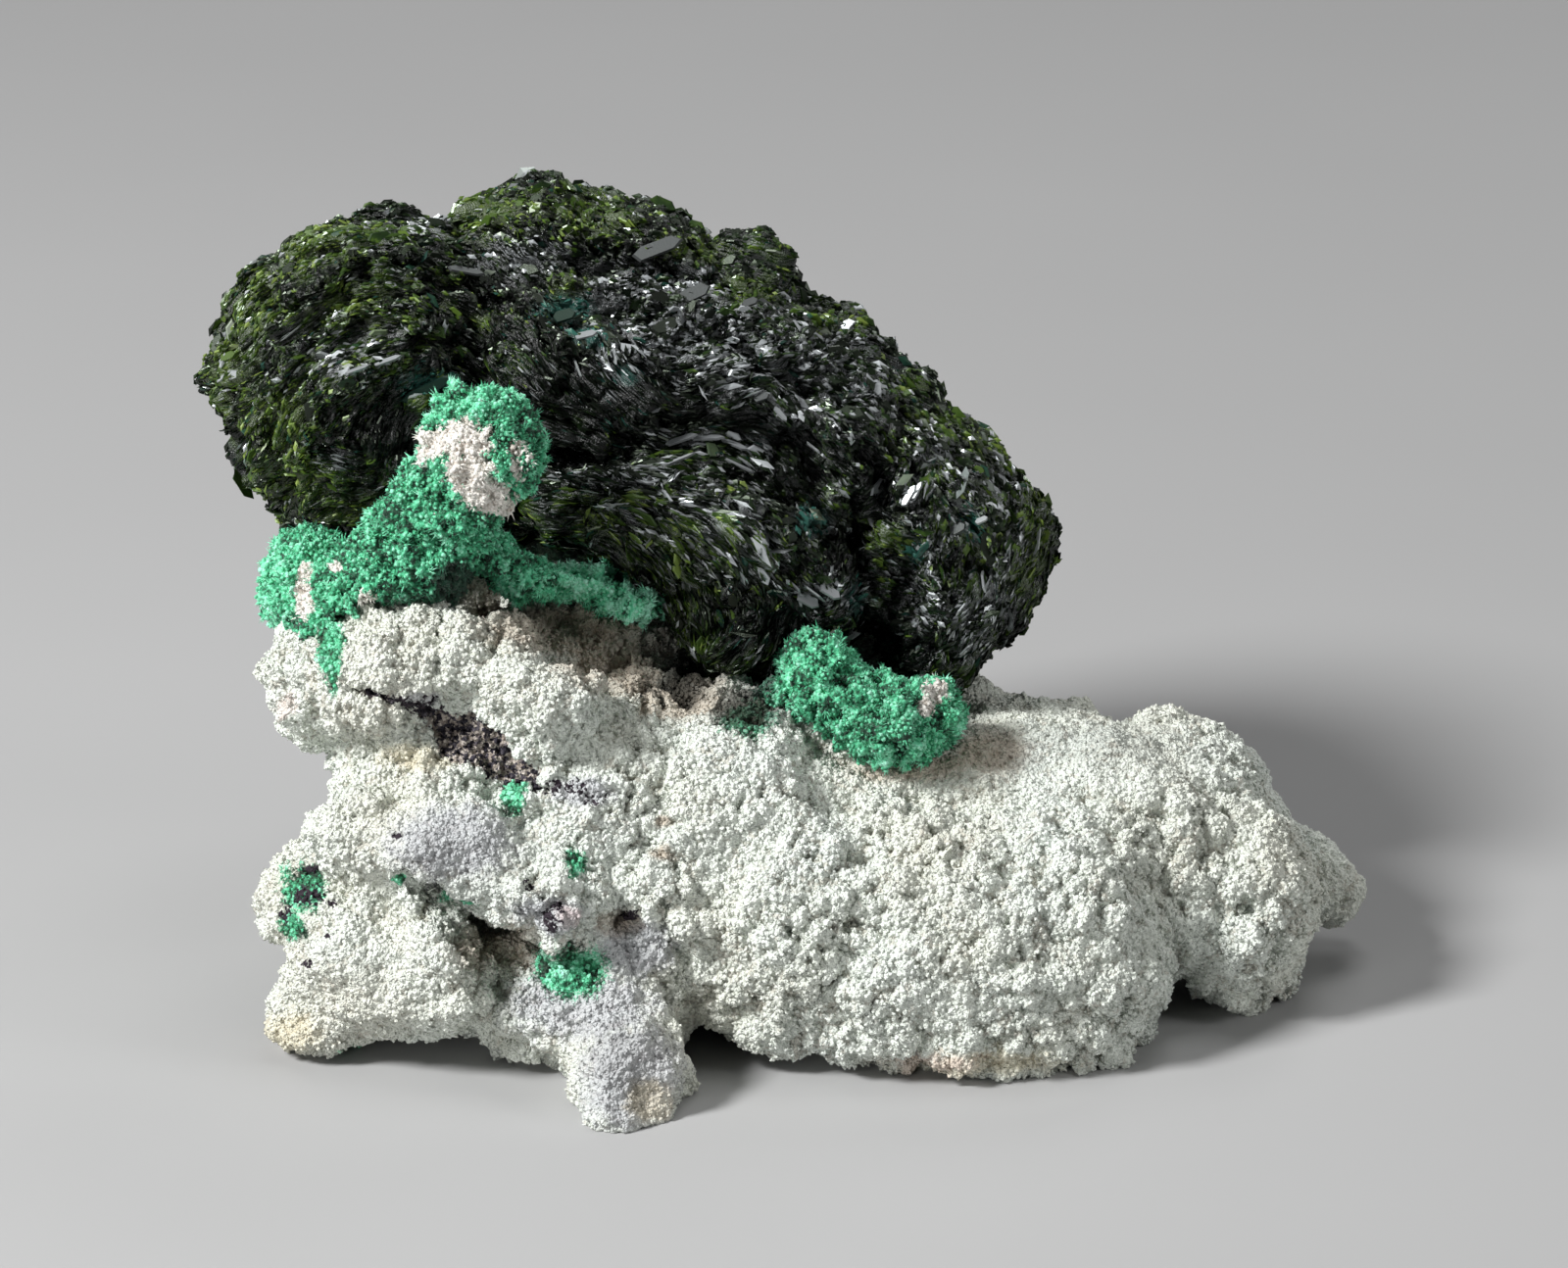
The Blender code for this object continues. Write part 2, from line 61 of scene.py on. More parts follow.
# One output of a node. Sums and products written with it add their own nodes.
class Wire:
    def __init__(self, tree, socket):
        self.tree = tree
        self.socket = socket

    # Any node: its type, its settings, the values or wires of its sockets, and which output is wanted
    def make(self, kind, settings=(), sockets=(), out=0):
        node = self.tree.nodes.new(kind)
        for name, value in dict(settings).items():
            if name == "stops":
                setStops(node.color_ramp, value)
            else:
                setattr(node, name, value)
        for name, value in dict(sockets).items():
            if isinstance(value, Wire):
                self.tree.links.new(value.socket, node.inputs[name])
            else:
                node.inputs[name].default_value = value
        return Wire(self.tree, node.outputs[out])

    def other(self, name):
        return Wire(self.tree, self.socket.node.outputs[name])

    # Arithmetic: Math for numbers, Vector Math for vectors, Mix for colours
    def reckon(self, operation, *pair):
        kinds = [value.socket.type for value in pair if isinstance(value, Wire)]
        if "RGBA" in kinds:
            pair = [(value,) * 3 + (1.0,) if isinstance(value, (int, float)) else value for value in pair]
            settings = {"data_type": "RGBA", "blend_type": operation, "clamp_factor": True}
            return self.make("ShaderNodeMix", settings, {0: 1.0, 6: pair[0], 7: pair[1]}, 2)
        kind = "ShaderNodeMath"
        if "VECTOR" in kinds or any(isinstance(value, tuple) for value in pair):
            pair = [(value,) * 3 if isinstance(value, (int, float)) else value for value in pair]
            kind = "ShaderNodeVectorMath"
        return self.make(kind, {"operation": operation}, dict(enumerate(pair)))

    # An operator, and its reflected form for a plain number that comes first
    def both(operation):
        return (lambda self, value: self.reckon(operation, self, value),
                lambda self, value: self.reckon(operation, value, self))

    __add__, __radd__ = both("ADD")
    __sub__, __rsub__ = both("SUBTRACT")
    __mul__, __rmul__ = both("MULTIPLY")
    __truediv__, __rtruediv__ = both("DIVIDE")
    __pow__, __rpow__ = both("POWER")

    # 0 below the first value, 1 above the second, smooth between them
    def rise(self, low, high):
        sockets = {"Value": self, "From Min": low, "From Max": high}
        return self.make("ShaderNodeMapRange", {"interpolation_type": "SMOOTHSTEP"}, sockets)

    # This colour where share is 0 and the other one where it is 1
    def towards(self, other, share):
        other = other + (1.0,) if isinstance(other, tuple) and len(other) == 3 else other
        return self.make("ShaderNodeMix", {"data_type": "RGBA"}, {0: share, 6: self, 7: other}, 2)

    def noise(self, size, detail=2.0, roughness=0.5):
        sockets = {"Vector": self, "Scale": 1 / size, "Detail": detail, "Roughness": roughness}
        return self.make("ShaderNodeTexNoise", {}, sockets)

    # Distance to the nearest of scattered points, in units of their spacing
    def cells(self, size, out=0):
        return self.make("ShaderNodeTexVoronoi", {}, {"Vector": self, "Scale": 1 / size}, out)

    # These coordinates pushed about by noise
    def shaken(self, size, amount):
        push = self.noise(size).other("Color")
        push = push.make("ShaderNodeVectorMath", {"operation": "SUBTRACT"}, {0: push, 1: (0.5, 0.5, 0.5)})
        return self + push * amount

    # A second chance value, from 0 to 1, out of a first one
    def again(self, times):
        return self.make("ShaderNodeMath", {"operation": "FRACT"}, {0: self * times})

    def red(self):
        return self.make("ShaderNodeSeparateXYZ", {}, {"Vector": self})

    def ramp(self, *stops):
        return self.make("ShaderNodeValToRGB", {"stops": stops}, {"Fac": self})

    def vector(self, x, y, z):
        return self.make("ShaderNodeCombineXYZ", {}, {"X": x, "Y": y, "Z": z})

    # A number that the mesh keeps, in a material and in a tree of geometry nodes
    def read(self, name, out="Fac"):
        return self.make("ShaderNodeAttribute", {"attribute_name": name}, {}, out)

    def field(self, name, kind="FLOAT"):
        return self.make("GeometryNodeInputNamedAttribute", {"data_type": kind}, {"Name": name})

    # One chance number for each point or leaf
    def chance(self, low, high, seed):
        sockets = {2: low, 3: high, "Seed": seed}
        return self.make("FunctionNodeRandomValue", {"data_type": "FLOAT"}, sockets, 1)

    # Noise drawn out along a direction: the mean of readings side by side on it
    def drawn(self, way, offsets, size, detail=2.0):
        reads = [(self + way * offset).noise(size, detail) for offset in offsets]
        return sum(reads[1:], start=reads[0]) * (1 / len(reads))

    # This rotation, turned further about its own axes
    def turned(self, x, y, z):
        turn = self.make("FunctionNodeEulerToRotation", {}, {0: self.vector(x, y, z)})
        sockets = {"Rotation": self, "Rotate By": turn}
        return self.make("FunctionNodeRotateRotation", {"rotation_space": "LOCAL"}, sockets)

    # This geometry with a number kept for each point, or for each shape that stands on it
    def keep(self, name, value, domain="POINT"):
        settings = {"data_type": "FLOAT", "domain": domain}
        sockets = {"Geometry": self, "Name": name, "Value": value}
        return self.make("GeometryNodeStoreNamedAttribute", settings, sockets)

    # This geometry with its points moved
    def push(self, offset):
        return self.make("GeometryNodeSetPosition", {}, {"Geometry": self, "Offset": offset})


def setStops(ramp, stops):
    while len(ramp.elements) < len(stops):
        ramp.elements.new(0.5)
    for element, (place, colour) in zip(ramp.elements, stops):
        element.position = place
        element.color = (*colour, 1.0)


# Meshes: reading, writing and modifiers

def readPoints(mesh):
    places = np.empty(len(mesh.vertices) * 3)
    mesh.vertices.foreach_get("co", places)
    return places.reshape(-1, 3)


def readNormals(mesh):
    normals = np.empty(len(mesh.vertices) * 3, np.float32)
    mesh.vertex_normals.foreach_get("vector", normals)
    return normals.reshape(-1, 3).astype(float)


def writePoints(mesh, places):
    mesh.vertices.foreach_set("co", places.ravel())
    mesh.update()


def writeNumber(mesh, name, values):
    mesh.attributes.new(name, "FLOAT", "POINT").data.foreach_set("value", np.asarray(values, np.float32))


def writeVector(mesh, name, values):
    holder = mesh.attributes.new(name, "FLOAT_VECTOR", "POINT")
    holder.data.foreach_set("vector", np.asarray(values, np.float32).ravel())


def newObject(name, mesh):
    obj = bpy.data.objects.new(name, mesh)
    bpy.context.scene.collection.objects.link(obj)
    return obj


def shapeObject(name, shape):
    mesh = bpy.data.meshes.new(name)
    shape.to_mesh(mesh)
    shape.free()
    return newObject(name, mesh)


def addModifier(obj, kind, **settings):
    modifier = obj.modifiers.new(kind.title(), kind)
    for name, value in settings.items():
        setattr(modifier, name, value)
    return modifier


def bakeModifiers(obj):
    graph = bpy.context.evaluated_depsgraph_get()
    made = bpy.data.meshes.new_from_object(obj.evaluated_get(graph))
    obj.modifiers.clear()
    old = obj.data
    obj.data = made
    bpy.data.meshes.remove(old)
    made.name = obj.name
    return made


# A copy of a CAD node as one closed skin of small faces, rounded and moved out by a little
def skinOf(node, name, voxel, rounding, swell=0.0):
    shape = bmesh.new()
    shape.from_mesh(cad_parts[node].data)
    bmesh.ops.remove_doubles(shape, verts=shape.verts, dist=1e-6)
    obj = shapeObject(name, shape)
    addModifier(obj, "REMESH", mode="VOXEL", voxel_size=voxel * mm)
    addModifier(obj, "SMOOTH", factor=0.6, iterations=rounding)
    if swell:
        addModifier(obj, "DISPLACE", strength=swell * mm, mid_level=0.0)
    bakeModifiers(obj)
    return obj


# Geometry Nodes: a tree with named inputs, and a modifier that has their values

def newTree(name, numbers, standing=False):
    tree = bpy.data.node_groups.new(name, "GeometryNodeTree")
    tree.interface.new_socket("Geometry", in_out="OUTPUT", socket_type="NodeSocketGeometry")
    kinds = {"Geometry": "Geometry"}
    if standing:
        kinds |= {"shape": "Object", "finish": "Material", "seed": "Int"}
    for label, kind in (kinds | dict.fromkeys(numbers, "Float")).items():
        tree.interface.new_socket(label, in_out="INPUT", socket_type="NodeSocket" + kind)
    entry = tree.nodes.new("NodeGroupInput")
    return tree, {socket.name: Wire(tree, socket) for socket in entry.outputs if socket.name}


def closeTree(tree, geometry):
    end = tree.nodes.new("NodeGroupOutput")
    tree.links.new(geometry.socket, end.inputs[0])


def runTree(obj, tree, **values):
    modifier = obj.modifiers.new(tree.name, "NODES")
    modifier.node_group = tree
    for item in tree.interface.items_tree:
        if item.in_out == "INPUT" and item.name in values:
            modifier[item.identifier] = values[item.name]
    return bakeModifiers(obj)


# Masks on the broad face: soft spots, and soft lines with half widths

def spotMask(flat, spots, soft=0.35):
    mask = np.zeros(len(flat))
    for across, up, wide, tall, *strength in spots:
        reach = np.hypot((flat[:, 0] - across) / wide, (flat[:, 1] - up) / tall)
        height = strength[0] if strength else 1.0
        mask = np.maximum(mask, height * np.clip((1 + soft - reach) / (2 * soft), 0, 1))
    return mask


def lineMask(flat, line, soft=0.25):
    mask = np.zeros(len(flat))
    for (a1, u1, w1), (a2, u2, w2) in zip(line, line[1:]):
        run = np.array([a2 - a1, u2 - u1])
        share = ((flat[:, :2] - (a1, u1)) @ run / (run @ run)).clip(0, 1)
        reach = np.hypot(flat[:, 0] - a1 - share * run[0], flat[:, 1] - u1 - share * run[1])
        width = w1 + share * (w2 - w1)
        mask = np.maximum(mask, np.clip((width + soft - reach) / (2 * soft), 0, 1))
    return mask


# Materials

def newMaterial(name, **constants):
    made = bpy.data.materials.new(name)
    made.use_nodes = True
    shader = made.node_tree.nodes["Principled BSDF"]
    for label, value in constants.items():
        shader.inputs[label].default_value = value
    place = Wire(made.node_tree, None).make("ShaderNodeTexCoord", {}, {}, "Object")
    return made, shader, place * (1 / mm)


def plug(shader, **sockets):
    for label, wire in sockets.items():
        wire.tree.links.new(wire.socket, shader.inputs[label.replace("_", " ")])


def bumpOf(height, depth, strength=1.0):
    return height.make("ShaderNodeBump", {}, {"Strength": strength, "Distance": depth * mm, "Height": height})


# Painted shade: how far the colour goes towards near black at the shade spots
def paintedShadeShare(place, warp):
    return (place.read("shade") + warp * 0.8).rise(0.1, 0.9) * 0.9


# Green crust in tufts, with painted light and shade by height: paler at the tips, nearly black in the gaps
def greenWithPaintedShade(place, relief):
    tufts = place.shaken(0.4, 0.3).noise(0.30, 4.0, 0.7)
    broad = place.noise(1.8, 3.0)
    tone = relief * 0.95 + (tufts - 0.5) * 1.1 + (broad - 0.5) * 1.3 - 0.17
    return tone.ramp((0.02, (0.003, 0.035, 0.016)), (0.22, (0.022, 0.21, 0.095)), (0.42, (0.085, 0.54, 0.28)),
                     (0.64, (0.22, 0.80, 0.49)), (1.0, (0.44, 0.94, 0.71)))


def makeClay():
    made, shader, place = newMaterial("whiteClay", **{"Specular IOR Level": 0.2})
    broad = place.noise(9.0, 3.0)
    fine = place.noise(0.45, 4.0, 0.65)
    warp = place.noise(0.8, 4.0, 0.75) - 0.5
    colour = broad.ramp((0.30, (0.77, 0.78, 0.69)), (0.50, (0.81, 0.85, 0.775)), (0.70, (0.83, 0.88, 0.82)))
    relief = place.read("relief")
    # painted shade: the low places of the relief tinted warm taupe
    paintedHollowShade = (relief + (fine - 0.5) * 0.45).rise(0.42, 0.05)
    colour = colour.towards((0.42, 0.37, 0.30), paintedHollowShade * 0.5)
    for label, (tone, stir, low, high, share) in clay["tints"].items():
        colour = colour.towards(tone, (place.read(label) + warp * stir).rise(low, high) * share)
    dust = place.noise(0.22, 3.0, 0.7) - 0.5
    green = (place.read("green") * 1.2 + warp * 0.9 + dust * 1.6).rise(0.40, 0.85)
    colour = colour.towards(greenWithPaintedShade(place, relief), green * 0.95)
    speckle = place.shaken(0.3, 0.3).cells(0.24, "Color").red()
    seam = (place.read("seam") * 1.1 + warp * 1.3 + dust * 1.2).rise(0.45, 0.60)
    seamTone = speckle.ramp(
        (0.0, (0.016, 0.014, 0.020)), (0.38, (0.05, 0.045, 0.06)), (0.54, (0.13, 0.115, 0.13)),
        (0.68, (0.33, 0.28, 0.24)), (1.0, (0.66, 0.60, 0.54)))
    colour = colour.towards(seamTone, seam)
    specks = (place.read("specks") + dust + (speckle - 0.5) * 0.9).rise(0.50, 0.70)
    colour = colour.towards((0.045, 0.035, 0.045), specks)
    # painted shade
    colour = colour.towards((0.03, 0.028, 0.022), paintedShadeShare(place, warp))
    coarse, small = place.cells(0.30), (place + (7.7, 7.7, 7.7)).cells(0.17)
    height = (1 - coarse * coarse) * 0.6 + (1 - small * small) * 0.5 + fine * 0.1
    plug(shader, Base_Color=colour, Roughness=0.95 - 0.3 * seam, Normal=bumpOf(height, 0.3))
    return made


def makeMalachite():
    made, shader, place = newMaterial("malachiteCrust", **{"Specular IOR Level": 0.3, "Sheen Weight": 0.2})
    tufts = place.noise(0.28, 4.0, 0.7)
    relief = place.read("relief")
    # painted light: paler where the crust should be lit
    colour = greenWithPaintedShade(place, relief + place.read("pale") * 0.4)
    warp = place.noise(0.8, 4.0, 0.75) - 0.5
    patches = place.noise(0.55, 3.0, 0.7) - 0.5
    chalk = (place.read("chalk") * 0.95 + warp + patches * 2.2 + (tufts - 0.5) * 0.8).rise(0.48, 0.60)
    # painted shade: the clay showing through is dark brown in low places
    chalkTone = (relief * 0.6 + tufts * 0.6).ramp(
        (0.24, (0.24, 0.18, 0.13)), (0.42, (0.60, 0.53, 0.46)), (0.58, (0.86, 0.83, 0.77)))
    colour = colour.towards(chalkTone, chalk)
    # painted shade
    colour = colour.towards((0.006, 0.016, 0.010), paintedShadeShare(place, warp))
    height = tufts * 0.8 - place.cells(0.22) * 0.4 + place.noise(0.12, 3.0) * 0.3
    plug(shader, Base_Color=colour, Roughness=0.75 + 0.2 * chalk, Normal=bumpOf(height, 0.22))
    return made


# Colour and metallic shine of a leaf, by chance and by where it stands, with painted light and shade by
# height and in the dark spots, and a painted sheen in the silvery places
def leafFinish(place, tone, dim=1.0):
    second, third = tone.again(17.3), tone.again(53.7)
    patchy = place.noise(1.4, 3.0, 0.65)
    dark = place.read("dark")
    # painted light and shade by height: lighter on ridges and high rows, darker in low places and the dark
    # spots
    height = (place.read("relief") - 0.5) * 0.9 + place.read("row") * 0.7 - dark * 0.3
    shade = tone * 0.7 + (patchy - 0.5) * 1.3 + 0.12 + height * 1.2 - dark * 0.5
    colour = shade.ramp((0.12, (0.0015, 0.0025, 0.0015)), (0.46, (0.005, 0.010, 0.004)),
                        (0.74, (0.014, 0.033, 0.007)), (1.0, (0.044, 0.085, 0.015)))
    # yellow-green, more on high places as painted light
    gold = place.read("gold") * 0.75 + (patchy - 0.5) * 1.6 + height - 0.02
    goldTone = third.ramp((0.0, (0.020, 0.040, 0.006)), (0.50, (0.050, 0.095, 0.012)),
                          (0.80, (0.11, 0.18, 0.025)), (1.0, (0.24, 0.32, 0.07)))
    colour = colour.towards(goldTone, (gold - second * 0.9).rise(-0.04, 0.06))
    colour = colour.towards((0.035, 0.13, 0.105), (place.read("teal") - third).rise(-0.05, 0.05))
    # painted sheen: a pale grey colour where leaves should catch the light, with half metallic shine
    silver = (place.read("silver") * 0.30 + 0.03 + height * 0.2 - second).rise(-0.03, 0.03)
    colour = colour.towards((0.55, 0.58, 0.60), silver) * dim
    return colour, silver * 0.5, third


def makeLeaf(name, dim):
    made, shader, place = newMaterial(name, IOR=1.5, **{"Specular Tint": (0.86, 1.0, 0.80, 1.0)})
    colour, shine, chance = leafFinish(place, place.read("tone"), dim)
    plug(shader, Base_Color=colour, Metallic=shine, Roughness=0.24 + 0.2 * chance,
         Normal=bumpOf(place.noise(0.10), 0.02, 0.4))
    return made


# Under the leaves: the same colours combed along the way the leaves lie, dimmed to 0.6 as painted shade where
# the bed shows between them
def makeBed():
    made, shader, place = newMaterial("volborthiteBed", IOR=1.5)
    strand = place.read("strand", "Vector")
    combed = place.drawn(strand, (-0.3, -0.15, 0.0, 0.15, 0.3), 0.16)
    colour, shine, chance = leafFinish(place, (combed - 0.5) * 2.5 + 0.5, 0.6)
    plug(shader, Base_Color=colour, Metallic=shine, Roughness=0.3 + 0.2 * combed, Normal=bumpOf(combed, 0.35))
    return made


# White clay matrix

clay = {
    "voxel": 0.135, "rounding": 50, "swell": 0.12,
    # size and depth in mm
    "crag": (5.0, 2.1), "cluster": (1.9, 0.54), "knob": (0.85, 0.31), "grain": (0.40, 0.14),
    "pit": (1.5, 0.95), "shake": 0.25,
    # how far apart and how large in mm, how high for their width, how much they lean in radians,
    # how much of the skin's cover they start from, and their seed
    "grains": {"spacing": 0.345, "size": 0.39, "rise": 0.9, "lean": 1.5, "from": 0.2, "seed": 7},
    "backShare": 0.19,  # of the triangles, kept on what faces away from the front
    "frontEnds": (22.0, 25.0),  # mm deep, where the marks of the front fade out
    # mm: the back is deeper than this, the lobe further right, then the slab, and the cliff is higher
    "cuts": (24.0, 12.0, -9.0, 19.0),
    "seamDepth": 0.6, "undercutDepth": 1.0,  # mm
    "evenBack": 0.45,  # how even the grain is behind
    # places with a fine, even grain, without clusters
    "even": [
        (-25.5, 10.5, 4.6, 3.6), (-9.6, 4, 4, 4), (-20, 18.2, 4.6, 2.2), (12, 23.5, 10, 2.6),
        (22, 23.5, 5, 2.2)],
    # places pushed further in: across, up, half width, half height, depth in mm
    "hollows": [
        (-18.8, 33.8, 1.8, 1.4, 3.6), (-11, 30.2, 4.6, 1.7, 1.6), (-7.4, 28.4, 2.4, 2, 2.6),
        (-20.8, 30, 0.4, 1.6, 0.7)],
    # the weathered seam and the undercut below the middle ledge: across, up, half width
    "seam": [
        (-25.9, 27.8, 0.3), (-24.8, 27.4, 0.5), (-23.6, 26.9, 0.25), (-22.2, 26.6, 0.3), (-20.9, 25.8, 0.5),
        (-19.6, 24.9, 1.2), (-18.4, 24, 1.35), (-17.4, 23.2, 1), (-16.2, 22.6, 0.85), (-15.2, 22, 0.8),
        (-14.3, 21.7, 0.3)],
    "undercut": [
        (-23, 16.2, 0.2), (-20.8, 15.4, 0.35), (-20, 14.3, 0.5), (-18.4, 13.2, 0.6), (-16.2, 12.8, 0.6),
        (-14.6, 12.3, 0.4)],
    # tints, the brown one painted shade and the lilac one painted shade on the toe: colour, how much noise
    # stirs them, where they start and are full, and the most of them
    "tints": {
        "lilac": ((0.46, 0.46, 0.52), 1.2, 0.35, 1.0, 0.6),
        "cream": ((0.74, 0.64, 0.42), 1.4, 0.35, 1.1, 0.5),
        "blush": ((0.62, 0.42, 0.40), 1.5, 0.45, 1.1, 0.4),
        # painted shade, warm brown
        "earth": ((0.42, 0.31, 0.22), 0.9, 0.15, 1.1, 0.65)},
    # spots of each colour: across, up, half width, half height, strength where it isn't 1
    "green": [
        (-16.4, 21, 0.8, 0.8), (-12.7, 17.1, 0.7, 0.9), (-12.9, 10.8, 2.2, 1.8), (-29.2, 15.4, 1.4, 1.6),
        (-29.8, 13.2, 0.8, 0.9), (-19.6, 14.8, 1.2, 0.3), (-23.4, 15.9, 0.5, 0.2), (-26, 5.4, 1.2, 0.6),
        (-27.2, 30.2, 0.8, 1.8), (-26.9, 29, 0.4, 1.6), (-2.2, 25.7, 1.9, 1.2, 0.8)],
    # grey-lilac, and in the last two spots painted shade on the toe
    "lilac": [
        (-20, 18.4, 4.6, 2.4), (-12.2, 21.4, 2.2, 1), (-22, 26.9, 1.4, 0.6), (-14.4, 14.2, 2.6, 1.2),
        (-9, 12, 3, 2), (-12, 8.6, 5.4, 2.6, 1), (-9.2, 4.4, 3.4, 3.6, 1.1)],
    "cream": [(-30, 6.6, 2, 1.5), (-22, 23.6, 3, 1), (12, 5, 6, 0.8), (-8, 3, 1.6, 1.6)],
    "blush": [(-30.2, 26.6, 0.9, 0.7), (9, 5.2, 3.5, 0.6), (-13, 14.2, 0.9, 0.6)],
    # painted shade, warm brown: the slope and the cavity under the crust, the recesses, and beside the mound
    "earth": [
        (-13.4, 31.6, 5.6, 1.4), (-10.2, 29.6, 4.2, 2.4), (-18.9, 33.9, 1.8, 1.4), (-6.4, 27.6, 3.2, 2),
        (8, 22.8, 4.2, 1), (12.6, 23.6, 2.6, 1.6), (-10, 13.6, 1.3, 1), (-7.4, 17.6, 0.8, 0.5),
        (-7.3, 19.5, 0.8, 0.4), (-17.2, 12, 3, 1.6)],
    "specks": [
        (-28.8, 16.7, 0.7, 0.3), (-28.7, 15, 0.9, 0.7), (-30, 13.9, 0.5, 0.7), (-28.9, 11, 0.4, 0.25),
        (-27.2, 14.4, 0.25, 0.25), (-27.6, 12.6, 0.25, 0.2), (-23.2, 18.9, 0.3, 0.25),
        (-22.7, 16.6, 0.4, 0.2), (-15.3, 15.8, 0.3, 0.3), (-13.5, 14.6, 0.5, 0.3), (-14.1, 14, 0.5, 0.4),
        (-9.2, 14, 0.5, 0.3), (-24.6, 27.3, 0.8, 0.4, 0.8), (-23, 26.9, 0.6, 0.4, 0.7),
        (-21.6, 26.5, 1, 0.5, 0.8), (-13.2, 21.6, 1.4, 0.5, 0.7), (-11.4, 21, 1, 0.4, 0.6)],
    # painted shade: near black in the deepest gaps and under the crease, and a weak darkening on the slab
    # top, the middle ledge and the toe
    "shade": [
        (-18.4, 33.7, 1.2, 0.9, 1.2), (-6.4, 28.6, 2.6, 1.3, 0.9), (-2.2, 26.3, 2.2, 1.4, 1),
        (-13.8, 11.9, 2.4, 0.8, 0.5), (19, 24.2, 7, 1.8, 0.36), (-19, 17.2, 5, 2.8, 0.34),
        (-9.5, 5, 2.4, 3.6, 0.36)],
}


reliefSteps = ("crag", "cluster", "knob", "grain", "pit")


# Pushes a skin out by crags, clusters, knobs and grains, and in by pits. "relief" keeps the height.
def reliefTree():
    numbers = [step + part for step in reliefSteps for part in ("Size", "Depth")]
    tree, wires = newTree("mineralRelief", numbers + ["shake"])
    geometry = wires["Geometry"]
    place = geometry.make("GeometryNodeInputPosition") * (1 / mm)
    near = place.shaken(1.1, wires["shake"])
    crag = (place.noise(wires["cragSize"], 3.0) - 0.5) * wires["cragDepth"]
    even = geometry.field("even")
    pit = near.noise(wires["pitSize"]).rise(0.40, 0.28) * (1 - even)
    rugged = (1 - even * 0.8) * (0.45 + place.noise(6.0).rise(0.35, 0.65) * 0.75)
    total, relief = crag - pit * rugged * wires["pitDepth"], 0.35 - pit * 0.4
    for step, shift, share in (("cluster", 0.0, 0.30), ("knob", 13.1, 0.35), ("grain", 29.7, 0.30)):
        distance = (near + (shift, shift, shift)).cells(wires[step + "Size"])
        chance = distance.other("Color").red() - 0.5
        height = 0.75 - distance * distance * 2.2 + chance * 0.9
        if step != "grain":
            height = height * rugged
        total = total + height * wires[step + "Depth"]
        relief = relief + height * share
    normal = geometry.make("GeometryNodeInputNormal")
    closeTree(tree, geometry.push(normal * (total * mm)).keep("relief", relief))
    return tree


def reliefValues(plan):
    sizes = {step + part: plan[step][i] for step in reliefSteps for i, part in enumerate(("Size", "Depth"))}
    return sizes | {"shake": plan["shake"]}


def makeMatrix(relief, grains, grain, finish):
    obj = skinOf("clay_matrix", "clayMatrix", clay["voxel"], clay["rounding"], clay["swell"])
    mesh = obj.data
    places = readPoints(mesh)
    flat = toFace(places)
    near, far = clay["frontEnds"]
    front = np.clip((far - flat[:, 2]) / (far - near), 0, 1)
    seam = lineMask(flat, clay["seam"]) * front
    undercut = lineMask(flat, clay["undercut"], 0.5) * front
    inward = clay["seamDepth"] * seam + clay["undercutDepth"] * undercut
    for *spot, depth in clay["hollows"]:
        inward = np.maximum(inward, depth * spotMask(flat, [spot], 0.5) * front)
    places -= readNormals(mesh) * (inward * mm)[:, None]
    writePoints(mesh, places)
    writeNumber(mesh, "seam", seam)
    for label in ("green", *clay["tints"], "specks", "shade"):
        writeNumber(mesh, label, spotMask(flat, clay[label], 0.5) * front)
    even = spotMask(flat, clay["even"], 0.5) * front
    writeNumber(mesh, "even", np.maximum(even, clay["evenBack"] * (1 - front)))
    mesh = runTree(obj, relief, **reliefValues(clay))
    places, normals = readPoints(mesh), readNormals(mesh)
    places[:, 2] = places[:, 2].clip(0)  # nothing goes below the feet
    writePoints(mesh, places)
    hidden = np.clip(0.35 + normals @ faceDeep, 0, 0.5) * 2  # 1 on what faces away from the front
    thinOut(obj, hidden, clay["backShare"])
    for piece in splitMesh(obj, ("clayCliff", "clayFin", "claySlab", "clayLobe", "clayBack"), claySide):
        finishPiece(piece, finish, "clay_matrix")
        if piece.name != "clayBack":
            # most grains stand on what faces the front
            facing = -(readNormals(piece.data) @ faceDeep)
            writeNumber(piece.data, "cover", (0.55 + facing * 1.2).clip(0, 1))
            dress(piece, piece.name + "Grains", grains, grain, finish, "white_clay", True, **clay["grains"])


# Which piece each face of the clay falls in
def claySide(centres):
    across, up, deep = toFace(centres).T
    behind, lobe, slab, cliff = clay["cuts"]
    left = np.where(up > cliff, 0, 1)
    return np.where(deep > behind, 4, np.where(across > lobe, 3, np.where(across > slab, 2, left)))


# Cuts a mesh in pieces, by the number that the rule gives to each face's middle
def splitMesh(obj, names, rule):
    mesh = obj.data
    centres = np.empty(len(mesh.polygons) * 3)
    mesh.polygons.foreach_get("center", centres)
    side = rule(centres.reshape(-1, 3))
    pieces = []
    for i, name in enumerate(names):
        shape = bmesh.new()
        shape.from_mesh(mesh)
        bmesh.ops.delete(shape, geom=[face for face in shape.faces if side[face.index] != i], context="FACES")
        pieces.append(shapeObject(name, shape))
    bpy.data.objects.remove(obj)
    bpy.data.meshes.remove(mesh)
    return pieces


# Takes triangles away where the weight is high, until this share of those is left
def thinOut(obj, weight, share):
    group = obj.vertex_groups.new(name="thin")
    steps = 10
    levels = np.round(weight * steps)
    for level in range(steps + 1):
        group.add(np.flatnonzero(levels == level).tolist(), max(level / steps, 0.001), "REPLACE")
    ratio = 1 - (1 - share) * float(np.mean(weight))
    addModifier(obj, "DECIMATE", ratio=ratio, vertex_group="thin", vertex_group_factor=10.0)
    bakeModifiers(obj)
    obj.vertex_groups.clear()


